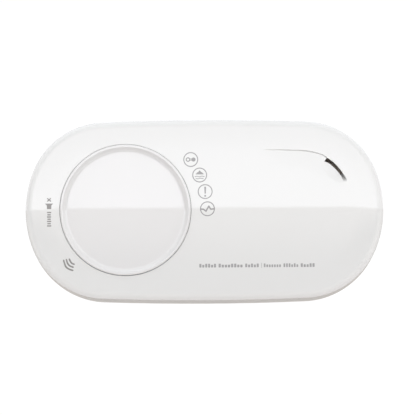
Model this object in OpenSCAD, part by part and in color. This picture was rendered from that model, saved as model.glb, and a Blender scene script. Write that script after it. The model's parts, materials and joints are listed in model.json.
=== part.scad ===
// Battery carbon monoxide alarm, wall hung, with a large round test button.
// Every module is drawn on the wall: x to the right, y up, z out of the wall
// towards the room. wall() then stands it upright, so that the finished model
// has X to the right, Z up, and the wall at Y = 0 with the front facing -Y.

/* [Case] */
// Width of the case, end to end
case_w = 126.2; // [125.2:0.5:128.2]
// Height of the case
case_h = 64.1; // [63.7:0.1:65.2]
// Distance from the wall to the flat front face
case_d = 34; // [34:0.5:36]
// Radius of the two round ends
end_r = 37.85; // [37.1:0.25:38.6]
// Radius of the four shoulders
shoulder_r = 27.75; // [27.35:0.05:28.1]
// Radius of the slightly bowed top and bottom
side_r = 945.6; // [900.6:5:1000.6]
// Draft of the side wall between the joint line and the front edge
draft = 0.4; // [0.2:0.1:0.6]
// Rounding of the front edge
edge_r = 2.6; // [2:0.1:3]
// Thickness of the case walls
wall_t = 2; // [1.8:0.1:2]
// Height of the joint line between the two half shells
joint_z = 10; // [10:0.1:10.2]

/* [Test button] */
// Distance of the button centre left of the case centre
button_x = -27.66; // [-28:0.02:-27.4]
// Radius of the button
button_r = 22.75; // [22.5:0.05:22.8]
// Radial gap round the button
button_gap = 0.3; // [0.25:0.05:0.35]
// Depth of the dished middle below the rim's crest
dish = 1.05; // [0.95:0.05:1.25]
// Height of the rim's crest above the front face
crest = 0.5; // [0.3:0.1:0.6]
// Travel of the button
button_travel = 0.8; // [0.5:0.1:0.8]

/* [Wall plate] */
// Thickness of the wall plate
plate_t = 2.4; // [2:0.1:2.6]
// Distance between the two wall screws
screw_pitch = 60; // [58:1:62]
// Radius of the wall screw holes
screw_r = 2.25; // [2:0.05:2.5]
// How far the alarm slides up to leave the plate
unhook = 5; // [4.5:0.1:5]

/* [Electronics] */
// Radius of the lithium cell
cell_r = 8.5; // [8.3:0.1:8.5]
// Length of the lithium cell
cell_l = 45; // [44:0.5:45]
// Radius of the gas sensor
sensor_r = 10; // [9.5:0.1:10]
// Radius of the sounder
sounder_r = 14; // [13.8:0.1:14]

/* [Hidden] */
$fn = 96;
e = 0.01;

// ---- the case outline: three tangent arcs in each quarter ----
a = case_w / 2;
b = case_h / 2;
c1x = a - end_r;
c3y = b - side_r;
d1 = end_r - shoulder_r;
d3 = side_r - shoulder_r;
dd = norm([c1x, c3y]);
aa = (d1 * d1 - d3 * d3 + dd * dd) / (2 * dd);
hh = sqrt(d1 * d1 - aa * aa);
c2x = c1x - aa * c1x / dd - hh * c3y / dd;
c2y = aa * c3y / dd - hh * c1x / dd;
t1 = atan2(c2y, c2x - c1x);
t3 = atan2(c2y - c3y, c2x);

function arc(c, r, a0, a1, i0, n) = [for (i = [i0:n])
    [c[0] + r * cos(a0 + (a1 - a0) * i / n), c[1] + r * sin(a0 + (a1 - a0) * i / n)]];
function quarter(t) = concat(arc([c1x, 0], end_r - t, 0, t1, 0, 7),
    arc([c2x, c2y], shoulder_r - t, t1, t3, 1, 22),
    arc([0, c3y], side_r - t, t3, 90, 1, 4));
// The outline, t millimetres inside the case's own.
function outline(t) = let (q = quarter(t), n = len(q)) concat(q,
    [for (i = [n - 2:-1:0]) [-q[i][0], q[i][1]]],
    [for (i = [1:n - 1]) [-q[i][0], -q[i][1]]],
    [for (i = [n - 2:-1:1]) [q[i][0], -q[i][1]]]);

// ---- levels above the wall ----
rim_z = 0.8;              // back edge of the rear housing
floor_z = 4.2;            // back face of the housing floor
floor_t = 1.8;            // thickness of that floor
in_z = floor_z + floor_t; // inside face of the floor
board_z = 12;             // back face of the circuit board
board_t = 1.6;
top_z = board_z + board_t;
face_in = case_d - wall_t;

// ---- positions ----
case_screws_xy = [[-49.6, 18.2], [-49.6, -18.2], [49.6, -18.2], [30.5, 24.8]];
board_screws_xy = [[-46, 3], [-16, 24.6], [24.8, 12.5], [29, -24.5], [56.2, -3.5]];
hooks_xy = [[-36, 12], [36, 12], [8, -12]];
lamp_r = 28.75;
lamps_deg = [0.5, 12.8, 25.1, 37.4];
cell_c = [-22.6, -16.8, 15.15];
sensor_c = [17.5, -15];
sounder_c = [41.5, 7];
learn_c = [16, 17];
slider_c = [-12, 14];
socket_c = [6, -3.5];
coil_c = [33, -15.5];
caps = [[42, -15.5, 3.15, 8], [-12.5, 19.5, 2.5, 7]];
// upper edge of the sound slot and its lower edge, drawn on the front face
slot_pts = [[43.3, 17.6], [45.3, 16.4], [47.2, 14.5], [48.8, 12.6], [50, 10.5],
    [50.6, 9], [49.2, 9], [48.2, 9.9], [47.2, 11.8], [45.6, 14.1], [44, 15.6], [42.1, 16.2]];
crease_pts = [[21, 20.9], [27.3, 20.8], [33.9, 20.5], [37.8, 19.8], [41.4, 18.4],
    [43.3, 17.6], [42.6, 17.1], [40.9, 18], [37.6, 19.3], [33.8, 20.1], [27.3, 20.55]];

module wall() { rotate([90, 0, 0]) children(); }
module at(p, z = 0) { translate([p[0], p[1], z]) children(); }
module rod(r, z0, z1) { translate([0, 0, z0]) cylinder(r = r, h = z1 - z0); }
module box(x0, x1, y0, y1, z0, z1) {
    translate([x0, y0, z0]) cube([x1 - x0, y1 - y0, z1 - z0]);
}
module prism(pts, z0, z1) {
    translate([0, 0, z0]) linear_extrude(z1 - z0) polygon(pts);
}
// A solid whose edge follows the outline: each level is [inset, height].
module skin(levels) {
    n = len(outline(0));
    m = len(levels);
    polyhedron(points = [for (l = levels, p = outline(l[0])) [p[0], p[1], l[1]]],
        faces = concat([[for (k = [0:n - 1]) k]],
            [for (i = [0:m - 2], k = [0:n - 1])
                [i * n + k, (i + 1) * n + k, (i + 1) * n + (k + 1) % n, i * n + (k + 1) % n]],
            [[for (k = [n - 1:-1:0]) (m - 1) * n + k]]), convexity = 4);
}
// A round wire or lead swept along pts.
function dirs(p) = [for (i = [0:len(p) - 1])
    let (v = p[min(i + 1, len(p) - 1)] - p[max(i - 1, 0)]) v / norm(v)];
function frame_u(d) = let (s = abs(d[2]) < 0.9 ? [0, 0, 1] : [1, 0, 0], u = cross(d, s)) u / norm(u);
function carry(ds, u, i = 0, acc = []) = i == len(ds) ? acc :
    let (w = u - (u * ds[i]) * ds[i], n = w / norm(w)) carry(ds, n, i + 1, concat(acc, [n]));
module sweep(p, r, n = 8) {
    ds = dirs(p);
    us = carry(ds, frame_u(ds[0]));
    pts = [for (i = [0:len(p) - 1], k = [0:n - 1])
        p[i] + r * (cos(360 * k / n) * us[i] + sin(360 * k / n) * cross(ds[i], us[i]))];
    m = len(p);
    polyhedron(points = pts, faces = concat(
        [[for (k = [0:n - 1]) k]],
        [for (i = [0:m - 2], k = [0:n - 1])
            [i * n + k, (i + 1) * n + k, (i + 1) * n + (k + 1) % n, i * n + (k + 1) % n]],
        [[for (k = [n - 1:-1:0]) (m - 1) * n + k]]), convexity = 6);
}
// A smooth line through a few hand-set points.
function spline(p, n) = [for (i = [0:len(p) - 2], k = [0:n - 1])
    let (t = k / n, p0 = p[max(i - 1, 0)], p1 = p[i], p2 = p[i + 1], p3 = p[min(i + 2, len(p) - 1)])
    0.5 * (2 * p1 + t * (p2 - p0) + t * t * (2 * p0 - 5 * p1 + 4 * p2 - p3) + t * t * t * (3 * p1 - p0 - 3 * p2 + p3))];
function coil(r, h, turns, n) = [for (i = [0:turns * n])
    [r * cos(360 * i / n), r * sin(360 * i / n), h * i / (turns * n)]];

// ---- wall plate: stays screwed to the wall ----
module plate_2d(t = 0) {
    difference() {
        union() {
            for (x = [-34, 34], y = [-5.5, 10.5]) translate([x, y]) circle(r = 16 - t);
            polygon([[-50 + t, -5.5], [50 - t, -5.5], [50 - t, 10.5], [-50 + t, 10.5]]);
            polygon([[-34, -21.5 + t], [34, -21.5 + t], [34, 26.5 - t], [-34, 26.5 - t]]);
        }
    }
}
module hook() {
    // the stem carries the alarm's weight; the lip keeps it on the wall
    box(-4, 4, -3, 0, plate_t - e, 7.8);
    box(-4, 4, -3, unhook - 0.7, in_z + 0.2, 7.8);
    for (x = [-2.6, 1.6]) box(x, x + 1, -5.5, -2.9, plate_t - e, 4);
}
module wall_plate() {
    color([0.9, 0.9, 0.88]) wall() difference() {
        union() {
            linear_extrude(plate_t) plate_2d();
            // stiffening border
            translate([0, 0, plate_t - e]) linear_extrude(0.9) difference() { plate_2d(); plate_2d(1.4); }
            for (h = hooks_xy) at(h) hook();
            for (x = [-1, 1]) translate([x * screw_pitch / 2, 0, 0]) rod(6, plate_t - e, 3.3);
            // friction bump on the spring finger
            translate([-14, -16.2, 0]) rod(1.6, plate_t - e, 3.9);
        }
        for (x = [-1, 1]) translate([x * screw_pitch / 2, 0, 0]) {
            rod(screw_r, -1, 5);
            translate([0, 0, 1.4]) cylinder(r1 = screw_r, r2 = 4.5, h = 2.25);
        }
        // U-shaped cut that frees the finger
        box(-19, -18.2, -18.6, -6, -1, 6);
        box(-9.8, -9, -18.6, -6, -1, 6);
        box(-19, -9, -19.4, -18.55, -1, 6);
        // cable and plug window, and weight-saving windows
        box(-6, 6, 14, 20, -1, 6);
        for (x = [-1, 1]) translate([x * 18, 16, 0]) rod(3, -1, 6);
        box(20, 28, -16, -10, -1, 6);
        box(-38, -26, -15, -11, -1, 6);
    }
}

// ---- rear housing ----
rear_levels = concat([for (i = [0:6]) [2 - 2 * sin(15 * i), rim_z + 2 - 2 * cos(15 * i)]],
    [[0, joint_z - 0.2], [2.25, joint_z - 0.2], [2.25, 11.6]]);
module cradle(x) {
    box(x - 0.8, x + 0.8, cell_c[1] - 8.9, cell_c[1] + 8.9, in_z - e, 12.5);
}
module rear_housing() {
    color([0.9, 0.9, 0.88]) wall() difference() {
        union() {
            difference() {
                skin(rear_levels);
                prism(outline(3.5), rim_z - 1, floor_z);
                prism(outline(3.4), in_z, 12);
            }
            for (p = case_screws_xy) at(p) rod(3.8, floor_z, 12);
            for (p = board_screws_xy) at(p) rod(2.5, in_z - e, board_z);
            cradle(-38);
            cradle(-9);
            // ribs that stiffen the floor
            box(-56, -50, -0.6, 0.6, in_z - e, 8.5);
            box(44, 53, -9.6, -8.4, in_z - e, 8.5);
            box(18, 19.2, -26, -6, in_z - e, 8.5);
        }
        for (p = case_screws_xy) at(p) {
            rod(2.9, floor_z - 1, 7.2);
            rod(1.6, 7, 13);
        }
        for (p = board_screws_xy) at(p) rod(0.9, 7, 13);
        // the cell lies in the two cradles
        translate([cell_c[0] - cell_l / 2 - 0.3, cell_c[1], cell_c[2]]) rotate([0, 90, 0])
            cylinder(r = cell_r + 0.1, h = cell_l + 0.6);
        // slots for the wall plate's hooks
        for (h = hooks_xy) at(h) box(-4.4, 4.4, -3.4 - unhook, 0.15, floor_z - 1, in_z + 0.5);
        // pairing button and activation slider
        at(learn_c) rod(3.1, floor_z - 1, in_z + 1);
        at(slider_c) box(-3.8, 3.8, -1.7, 1.7, floor_z - 1, in_z + 1);
        // gas and sound vents in the top and bottom walls
        for (i = [0:5], s = [-1, 1]) translate([2 + 4 * i, s * 29.5, 0]) box(-0.7, 0.7, -3.6, 3.6, 6.4, 9.2);
        // recess for the rating label
        box(-26.3, 26.3, -8.3, 8.3, floor_z - 1, floor_z + 0.15);
    }
}

// ---- front cover ----
front_levels = concat([[0, joint_z]], [for (i = [0:6])
    [draft + edge_r - edge_r * cos(15 * i), case_d - edge_r + edge_r * sin(15 * i)]]);
module front_cover() {
    color([0.95, 0.95, 0.94]) wall() difference() {
        union() {
            difference() {
                skin(front_levels);
                prism(outline(wall_t), joint_z - 1, face_in);
            }
            // guide ring round the button
            translate([button_x, 0, 0]) rod(24.7, 26.5, face_in + e);
            for (p = case_screws_xy) at(p) rod(3.8, 12.2, face_in + e);
            // duct that leads the sounder to the slot
            at(sounder_c) difference() {
                rod(14, 28.6, face_in + e);
                rod(12.6, 28, face_in + 1);
            }
            // fence round the gas sensor
            at(sensor_c) difference() {
                rod(sensor_r + 1.6, 29.6, face_in + e);
                rod(sensor_r + 0.4, 29, face_in + 1);
            }
            // ribs that stiffen the face
            box(2, 26, 24.6, 25.6, 29.5, face_in + e);
            box(-20, 28, -28, -27, 29.5, face_in + e);
        }
        translate([button_x, 0, 0]) rod(button_r + button_gap, 20, case_d + 1);
        for (p = case_screws_xy) at(p) rod(1.3, 12, 26);
        // thin windows over the four lamps
        for (t = lamps_deg) translate([button_x + lamp_r * cos(t), lamp_r * sin(t), 0]) rod(2.1, face_in - 1, case_d - 0.7);
        // sound slot, the scoop that leads into it and the crease that runs off it
        prism(slot_pts, 28, case_d + 1);
        intersection() {
            translate([48.5, 15.5, case_d + 29.1]) sphere(r = 30);
            prism([[38, 20], [43.3, 17.6], [45.3, 16.4], [47.2, 14.5], [48.8, 12.6], [50, 10.5],
                [50.6, 9], [52, 4], [38, 4]], 30, case_d + 1);
        }
        prism(crease_pts, case_d - 0.25, case_d + 1);
    }
}

// ---- test button: a dished disc with a rolled rim, three snap legs and a striker ----
// Rim and dish, from the outer edge inwards: a rounded edge, a narrow flat crest,
// a 45 degree slope and a fillet that runs out into the flat middle.
bead_r = 0.35;
crest_w = 0.25;
fillet_r = 1.6;
function button_profile(z1, z0) = let (
    k = sin(45),
    bx = button_r - bead_r,
    drop = z1 - z0 - (bead_r + fillet_r) * (1 - k),
    fx = bx - crest_w - bead_r * k - drop - fillet_r * k)
    concat(
        [for (i = [0:6]) [bx + bead_r * cos(15 * i), z1 - bead_r + bead_r * sin(15 * i)]],
        [for (i = [0:3]) [bx - crest_w - bead_r * sin(15 * i), z1 - bead_r + bead_r * cos(15 * i)]],
        [for (i = [3:-1:0]) [fx + fillet_r * sin(15 * i), z0 + fillet_r * (1 - cos(15 * i))]]);
module test_button() {
    z1 = case_d + crest;
    z0 = z1 - dish;
    color([0.96, 0.96, 0.95]) wall() translate([button_x, 0, 0]) union() {
        rotate_extrude() polygon(concat([[0, z0 - 1.6], [21, z0 - 1.6], [21.3, 27.6], [button_r, 27.6]],
            button_profile(z1, z0), [[0, z0]]));
        // snap legs
        for (t = [90, 210, 330]) rotate([0, 0, t - 9]) rotate_extrude(angle = 18)
            polygon([[21.5, 24.9], [24.1, 24.9], [24.1, 26.3], [22.6, 26.3], [22.6, 28], [21.5, 28]]);
        // striker, and the collar that centres the spring
        rod(2.4, 23.25, z0 - 1.5);
        difference() { rod(4.9, 29.4, z0 - 1.5); rod(4.1, 29, z0 - 1.6); }
        for (t = [0:60:300]) rotate([0, 0, t + 30]) box(8.4, 21.2, -0.6, 0.6, 29.6, z0 - 1.5);
    }
}
module button_spring() {
    color([0.7, 0.7, 0.72]) wall() translate([button_x, 0, top_z + 0.35])
        sweep(coil(5.6, case_d + crest - dish - 1.6 - top_z - 0.7, 5.5, 14), 0.34, 6);
}

// ---- lamps ----
module light_guide() {
    color([0.85, 0.92, 0.95, 0.5]) wall() translate([button_x, 0, 0]) {
        for (t = lamps_deg) rotate([0, 0, t]) translate([lamp_r, 0, 0]) rod(1.9, 15.9, case_d - 0.75);
        rotate([0, 0, -8]) rotate_extrude(angle = 54) polygon([[27.5, 22], [30, 22], [30, 23.2], [27.5, 23.2]]);
        for (t = [-6.5, 44.5]) rotate([0, 0, t]) translate([lamp_r, 0, 0]) {
            rod(1.1, top_z, 22.5);
            rod(0.7, 12.4, 14);
        }
    }
}
module status_leds() {
    color([0.95, 0.93, 0.8]) wall() translate([button_x, 0, 0])
        for (t = lamps_deg) rotate([0, 0, t]) translate([lamp_r, 0, 0]) {
            box(-1.4, 1.4, -1.75, 1.75, top_z, 15.2);
            rod(1.2, 15, 15.6);
        }
}

// ---- circuit board ----
module circuit_board() {
    color([0.05, 0.35, 0.18]) wall() translate([0, 0, board_z]) linear_extrude(board_t) difference() {
        polygon(outline(3.7));
        polygon([[-70, -40], [2.5, -40], [2.5, -7.6], [-70, -7.6]]);
        for (p = case_screws_xy) translate(p) circle(r = 4.4);
        for (p = board_screws_xy) translate(p) circle(r = 1.1);
        for (t = [-6.5, 44.5]) translate([button_x + lamp_r * cos(t), lamp_r * sin(t)]) circle(r = 0.8);
        for (t = [90, 210, 330]) translate([sensor_c[0] + 6 * cos(t), sensor_c[1] + 6 * sin(t)]) circle(r = 0.55);
    }
}
module screw(r, hr, z0, z1, head) {
    // shank from z0 up or down to z1, and a cross-slotted head beyond z1
    s = z1 > z0 ? 1 : -1;
    difference() {
        union() {
            rod(r, min(z0, z1), max(z0, z1));
            rod(hr, min(z1, z1 + s * head), max(z1, z1 + s * head));
        }
        for (q = [0, 90]) rotate([0, 0, q]) translate([-hr * 0.6, -0.3, z1 + s * head * 0.75 - head / 2])
            cube([hr * 1.2, 0.6, head]);
    }
}
module board_screws() {
    color([0.75, 0.75, 0.76]) wall() for (p = board_screws_xy) at(p) screw(0.85, 1.9, 7.4, top_z, 1.3);
}
module case_screws() {
    color([0.75, 0.75, 0.76]) wall() for (p = case_screws_xy) at(p) screw(1.25, 2.6, 21, 7.2, 2);
}

// ---- test switch ----
module test_switch_body() {
    color([0.12, 0.12, 0.13]) wall() translate([button_x, 0, 0]) difference() {
        union() {
            box(-3, 3, -3, 3, top_z, 16.8);
            rod(2.6, 16.7, 17.1);
            for (x = [-1, 1], y = [-2.25, 2.25]) box(min(3 * x, 4.4 * x), max(3 * x, 4.4 * x), y - 0.35, y + 0.35, top_z, top_z + 0.3);
        }
        rod(1.9, 15.2, 18);
    }
}
module test_switch_plunger() {
    color([0.85, 0.83, 0.75]) wall() translate([button_x, 0, 0]) rod(1.7, 16.2, 23.2);
}

// ---- battery ----
module battery_cell() {
    color([0.2, 0.35, 0.6]) wall() translate(cell_c) rotate([0, 90, 0]) {
        translate([0, 0, -cell_l / 2]) rotate_extrude()
            polygon([[0, 0.2], [6.5, 0.2], [6.5, 0], [cell_r - 0.6, 0], [cell_r, 0.6], [cell_r, cell_l - 1.6],
                [cell_r - 0.8, cell_l - 0.8], [6.2, cell_l - 0.8], [6.2, cell_l - 1], [3.2, cell_l - 1], [3, cell_l], [0, cell_l]]);
    }
}
module battery_terminals() {
    x1 = cell_c[0] + cell_l / 2;
    x0 = cell_c[0] - cell_l / 2;
    color([0.8, 0.8, 0.78]) wall() {
        box(x1, x1 + 0.25, -16.8, -13.6, 14, 20.4);
        box(x0 - 0.05, x0 + 0.2, -16.8, -13.6, 14, 20.4);
    }
}
lead_end_z = 20.4;
module battery_lead_red() {
    color([0.75, 0.08, 0.06]) wall() sweep(spline([[0.16, -14.8, 19.4], [0.9, -14.8, 19.5], [3.4, -13.2, 21.8],
        [5.8, -8.8, 23.5], [7.0, -5.2, 23], [7.0, -3.5, 21.6], [7.0, -3.5, lead_end_z]], 5), 0.6, 8);
}
module battery_lead_black() {
    color([0.08, 0.08, 0.08]) wall() sweep(spline([[-45.3, -14.8, 19.4], [-45.9, -14.8, 19.45], [-46.2, -13.6, 20.3],
        [-45.2, -11, 21.8], [-41, -8.3, 21.2], [-34, -7.2, 19.4], [-20, -7.2, 18.8], [-8, -7.2, 19.2], [0.4, -7, 21.2],
        [3.6, -6, 23], [5.0, -4.6, 22.8], [5.0, -3.5, 21.4], [5.0, -3.5, lead_end_z]], 4), 0.6, 8);
}
module battery_plug() {
    color([0.92, 0.92, 0.88]) wall() at(socket_c) {
        box(-2.2, 2.2, -1.2, 1.2, 15.2, lead_end_z - e);
        box(-1.4, 1.4, 1.15, 1.6, 16.5, lead_end_z - 0.6);
    }
}
module battery_socket() {
    color([0.9, 0.9, 0.86]) wall() at(socket_c) difference() {
        box(-3, 3, -2.2, 2.3, top_z, 19);
        box(-2.4, 2.4, -1.4, 1.75, 15, 20);
    }
}
module battery_pad() {
    color([0.1, 0.1, 0.1]) wall() box(-34, -13, -20, -14, in_z, in_z + 0.6);
}

// ---- carbon monoxide sensor ----
module co_sensor_body() {
    color([0.82, 0.82, 0.8]) wall() at(sensor_c) rotate_extrude()
        polygon([[0, top_z + 0.6], [sensor_r - 1, top_z + 0.6], [sensor_r - 1, top_z], [sensor_r, top_z + 1],
            [sensor_r, 27.4], [sensor_r - 0.8, 27.4], [sensor_r - 0.8, 28.6], [6.2, 28.6], [6.2, 27.9], [0, 27.9]]);
}
module co_sensor_filter() {
    color([0.06, 0.06, 0.06]) wall() at(sensor_c) rod(6.1, 27.9, 28.6);
}
module co_sensor_cap() {
    color([0.88, 0.88, 0.86]) wall() at(sensor_c) difference() {
        rotate_extrude() polygon([[0, 28.6], [sensor_r - 0.75, 28.6], [sensor_r - 0.75, 27.45], [sensor_r, 27.45],
            [sensor_r, 29], [sensor_r - 0.7, 29.7], [0, 29.7]]);
        rod(0.9, 28, 31);
        for (t = [0:60:300]) rotate([0, 0, t]) translate([3.4, 0, 0]) rod(0.9, 28, 31);
    }
}
module co_sensor_pins() {
    color([0.8, 0.78, 0.7]) wall() for (t = [90, 210, 330])
        translate([sensor_c[0] + 6 * cos(t), sensor_c[1] + 6 * sin(t), 0]) rod(0.5, 10.6, top_z + 0.6);
}

// ---- sounder ----
module sounder_housing() {
    color([0.8, 0.78, 0.7]) wall() at(sounder_c) difference() {
        union() {
            rod(sounder_r, 14.2, 27);
            for (t = [30, 150, 270]) rotate([0, 0, t]) translate([sounder_r - 1.6, 0, 0]) rod(1.2, top_z, 14.4);
        }
        rod(12.8, 14, 18.75);
        rod(11.8, 18, 25.6);
        translate([2.5, 2.5, 0]) rod(4.5, 25, 28);
    }
}
module piezo_plate() {
    color([0.8, 0.65, 0.3]) wall() at(sounder_c) rod(12.6, 18.5, 18.75);
}
module piezo_ceramic() {
    color([0.85, 0.85, 0.83]) wall() at(sounder_c) rod(9, 18.28, 18.5);
}
module sounder_contacts() {
    color([0.8, 0.7, 0.4]) wall() at(sounder_c) {
        translate([0, 0, 0]) rod(0.5, top_z, 18.28);
        translate([6, 0, 0]) rod(0.5, top_z, 18.28);
        translate([-11, 0, 0]) rod(0.5, top_z, 18.5);
    }
}
module sounder_gasket() {
    color([0.15, 0.15, 0.15]) wall() at(sounder_c) difference() { rod(13.9, 27, 28.6); rod(12.4, 26, 30); }
}
module sounder_coil() {
    color([0.2, 0.2, 0.2]) wall() at(coil_c) difference() {
        union() {
            rod(4, top_z, 14.8);
            rod(3.4, 14.7, 21.2);
            rod(4, 21.1, 22.4);
        }
        rod(1, 20, 23);
    }
}

// ---- chips and small parts ----
module microcontroller() {
    color([0.08, 0.08, 0.09]) wall() translate([12, 5, 0]) {
        box(-3.5, 3.5, -3.5, 3.5, top_z + 0.1, 15);
        for (q = [0:90:270]) rotate([0, 0, q]) for (i = [-3:3]) box(3.4, 4.5, i * 0.8 - 0.18, i * 0.8 + 0.18, top_z, top_z + 0.3);
    }
}
module driver_chips() {
    color([0.08, 0.08, 0.09]) wall() for (p = [[20.5, 3, 0], [-40, 11, 90]]) translate([p[0], p[1], 0]) rotate([0, 0, p[2]]) {
        box(-2, 2, -2.5, 2.5, top_z + 0.1, 15.2);
        for (s = [-1, 1], i = [-1.5:1:1.5]) box(min(s * 1.9, s * 3), max(s * 1.9, s * 3), i * 1.27 - 0.2, i * 1.27 + 0.2, top_z, top_z + 0.3);
    }
}
module capacitors() {
    color([0.75, 0.76, 0.78]) wall() for (c = caps) translate([c[0], c[1], 0]) {
        rod(c[2], top_z + 0.8, top_z + c[3]);
        box(-c[2] - 0.1, c[2] + 0.1, -c[2] - 0.1, c[2] + 0.1, top_z, top_z + 0.85);
    }
}
passive_xy = [[8, 12, 0], [10.5, 12, 0], [16.5, 11, 90], [18.5, 8.5, 0], [21.5, 8.5, 0], [5, 4, 90], [5, 7.5, 90],
    [16, 0, 0], [12, -1.2, 0], [25, -2, 90], [28.5, -6, 0], [32, -8.8, 0], [36, -24, 0], [39, -23, 0], [44, -21, 90],
    [57, 6, 90], [55, -8, 90], [-20, 12, 0], [-16, 8, 90], [-38, 17, 0], [-35, -4, 90], [-44, -3, 0], [-20, -4, 90],
    [-32, 19, 0], [-28, 21, 0], [24, -25.2, 0]];
module passive_parts() {
    color([0.55, 0.45, 0.35]) wall() for (p = passive_xy) translate([p[0], p[1], 0]) rotate([0, 0, p[2]])
        box(-1, 1, -0.6, 0.6, top_z, top_z + 0.6);
}

// ---- radio ----
module radio_board() {
    color([0.05, 0.2, 0.4]) wall() difference() {
        box(2, 22, 14, 27, 17.6, 18.6);
        for (i = [0:5]) translate([4.5 + 2.54 * i, 15.6, 0]) rod(0.5, 17, 20);
    }
}
module radio_header() {
    color([0.1, 0.1, 0.1]) wall() {
        box(3, 18.7, 14.4, 16.8, top_z, 17.6);
        for (i = [0:5]) translate([4.5 + 2.54 * i, 15.6, 0]) rod(0.42, 17.5, 19.6);
    }
}
module radio_shield() {
    color([0.78, 0.78, 0.8]) wall() difference() {
        box(5, 19, 17.6, 26, 18.6, 21.2);
        box(5.4, 18.6, 18, 25.6, 18, 20.9);
        for (x = [7, 12, 17], y = [20, 23.6]) translate([x, y, 0]) rod(0.5, 20, 22);
    }
}
module antenna() {
    color([0.8, 0.5, 0.3]) wall() sweep(concat([[3.4, 24.8, 19], [2, 24.8, 19]],
        [for (i = [0:5 * 12]) [0.8 - i * 0.19, 24.8 + 2.2 * sin(30 * i), 21.3 - 2.2 * cos(30 * i)]]), 0.4, 6);
}

// ---- pairing button, on the back ----
module learn_button() {
    color([0.55, 0.56, 0.58]) wall() at(learn_c) rotate_extrude()
        polygon([[0, 4.9], [1.6, 4.75], [2.4, 4.5], [2.8, 4.8], [2.8, 6.2], [3.6, 6.2], [3.6, 7.2], [2.2, 7.2], [2.2, 7.6], [0, 7.6]]);
}
module learn_switch_body() {
    color([0.12, 0.12, 0.13]) wall() at(learn_c) difference() {
        box(-3, 3, -3, 3, 8.6, board_z);
        rod(1.9, 8, 10.6);
    }
}
module learn_switch_plunger() {
    color([0.85, 0.83, 0.75]) wall() at(learn_c) rod(1.7, 7.65, 9.9);
}

// ---- activation slider, on the back, and the switch it works ----
module activation_slider() {
    color([0.8, 0.25, 0.1]) wall() at(slider_c) {
        box(-3.5, 0.5, -1.4, 1.4, 3.9, 6.4);
        for (x = [-2.9, -1.9, -0.9]) box(x, x + 0.5, -1.4, 1.4, 3.6, 4);
        box(-7.5, 4.5, -2.5, 2.5, in_z + 0.2, 7.2);
        for (x = [-3.4, -0.7]) box(x, x + 1.1, -1.5, 1.5, 7.1, 8.4);
    }
}
module power_switch_body() {
    color([0.7, 0.7, 0.72]) wall() at(slider_c) difference() {
        box(-5.5, 3.5, -2, 2, 8.7, board_z);
        box(-2.5, 2.4, -0.8, 0.8, 8, 10.9);
    }
}
module power_switch_lever() {
    color([0.1, 0.1, 0.1]) wall() at(slider_c) box(-2.2, -0.8, -0.7, 0.7, 7.5, 10.6);
}

// ---- rating label ----
module rating_label() {
    color([0.88, 0.88, 0.86]) wall() box(-26, 26, -8, 8, floor_z + 0.03, floor_z + 0.15);
}

wall_plate();
rear_housing();
front_cover();
test_button();
button_spring();
light_guide();
status_leds();
circuit_board();
board_screws();
case_screws();
test_switch_body();
test_switch_plunger();
battery_cell();
battery_terminals();
battery_lead_red();
battery_lead_black();
battery_plug();
battery_socket();
battery_pad();
co_sensor_body();
co_sensor_cap();
co_sensor_filter();
co_sensor_pins();
sounder_housing();
piezo_plate();
piezo_ceramic();
sounder_contacts();
sounder_gasket();
sounder_coil();
microcontroller();
driver_chips();
capacitors();
passive_parts();
radio_board();
radio_shield();
radio_header();
antenna();
learn_button();
learn_switch_body();
learn_switch_plunger();
activation_slider();
power_switch_body();
power_switch_lever();
rating_label();
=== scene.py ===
"""Looks for the wall-hung carbon monoxide alarm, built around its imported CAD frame.

Face coordinates used below are the CAD's own: u to the right, v up and w out
of the wall, in millimetres. In the row frame they are X = u, Z = v, Y = -w.
"""

import json
import math

import bpy
import numpy as np
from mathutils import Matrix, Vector
from mathutils.geometry import delaunay_2d_cdt


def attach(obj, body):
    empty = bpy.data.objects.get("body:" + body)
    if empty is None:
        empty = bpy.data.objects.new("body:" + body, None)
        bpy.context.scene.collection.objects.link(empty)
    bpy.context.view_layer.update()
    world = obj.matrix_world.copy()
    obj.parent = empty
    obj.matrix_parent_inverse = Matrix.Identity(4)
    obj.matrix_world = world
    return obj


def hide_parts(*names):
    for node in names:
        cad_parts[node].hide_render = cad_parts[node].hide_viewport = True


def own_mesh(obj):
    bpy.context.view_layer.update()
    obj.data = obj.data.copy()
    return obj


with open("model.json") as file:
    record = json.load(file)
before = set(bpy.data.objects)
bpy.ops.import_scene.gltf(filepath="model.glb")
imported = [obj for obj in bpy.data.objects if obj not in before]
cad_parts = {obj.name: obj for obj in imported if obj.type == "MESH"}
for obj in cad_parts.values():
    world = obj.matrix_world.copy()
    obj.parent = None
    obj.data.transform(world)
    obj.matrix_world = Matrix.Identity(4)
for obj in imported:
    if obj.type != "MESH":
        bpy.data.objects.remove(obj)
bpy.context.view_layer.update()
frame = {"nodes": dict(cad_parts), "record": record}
NODES = frame["nodes"]
SLOT_OF = {s["node"]: s["material_slot"] for s in frame["record"]["subparts"]}
MM = 0.001

# ------------------------------------------------------------------ dimensions
CASE_W, CASE_H, CASE_D = 126.2, 64.1, 34.0
END_R, SHOULDER_R, SIDE_R = 37.85, 27.75, 945.6
DRAFT, EDGE_R, WALL_T, JOINT = 0.4, 2.6, 2.0, 10.0
FACE_IN = CASE_D - WALL_T
BX, B_R, B_GAP = -27.66, 22.75, 0.3
DISH, CREST = 1.05, 0.5
HOLE_R = B_R + B_GAP
LAMPS = [(BX + 28.75 * math.cos(math.radians(t)), 28.75 * math.sin(math.radians(t))) for t in (0.5, 12.8, 25.1, 37.4)]
CASE_SCREWS = [(-49.6, 18.2), (-49.6, -18.2), (49.6, -18.2), (30.5, 24.8)]
SENSOR, SOUNDER = (17.5, -15.0), (41.5, 7.0)
CROWN_W, CROWN_H = 11.0, 0.12  # the face falls away a little over its last 11 mm


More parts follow.
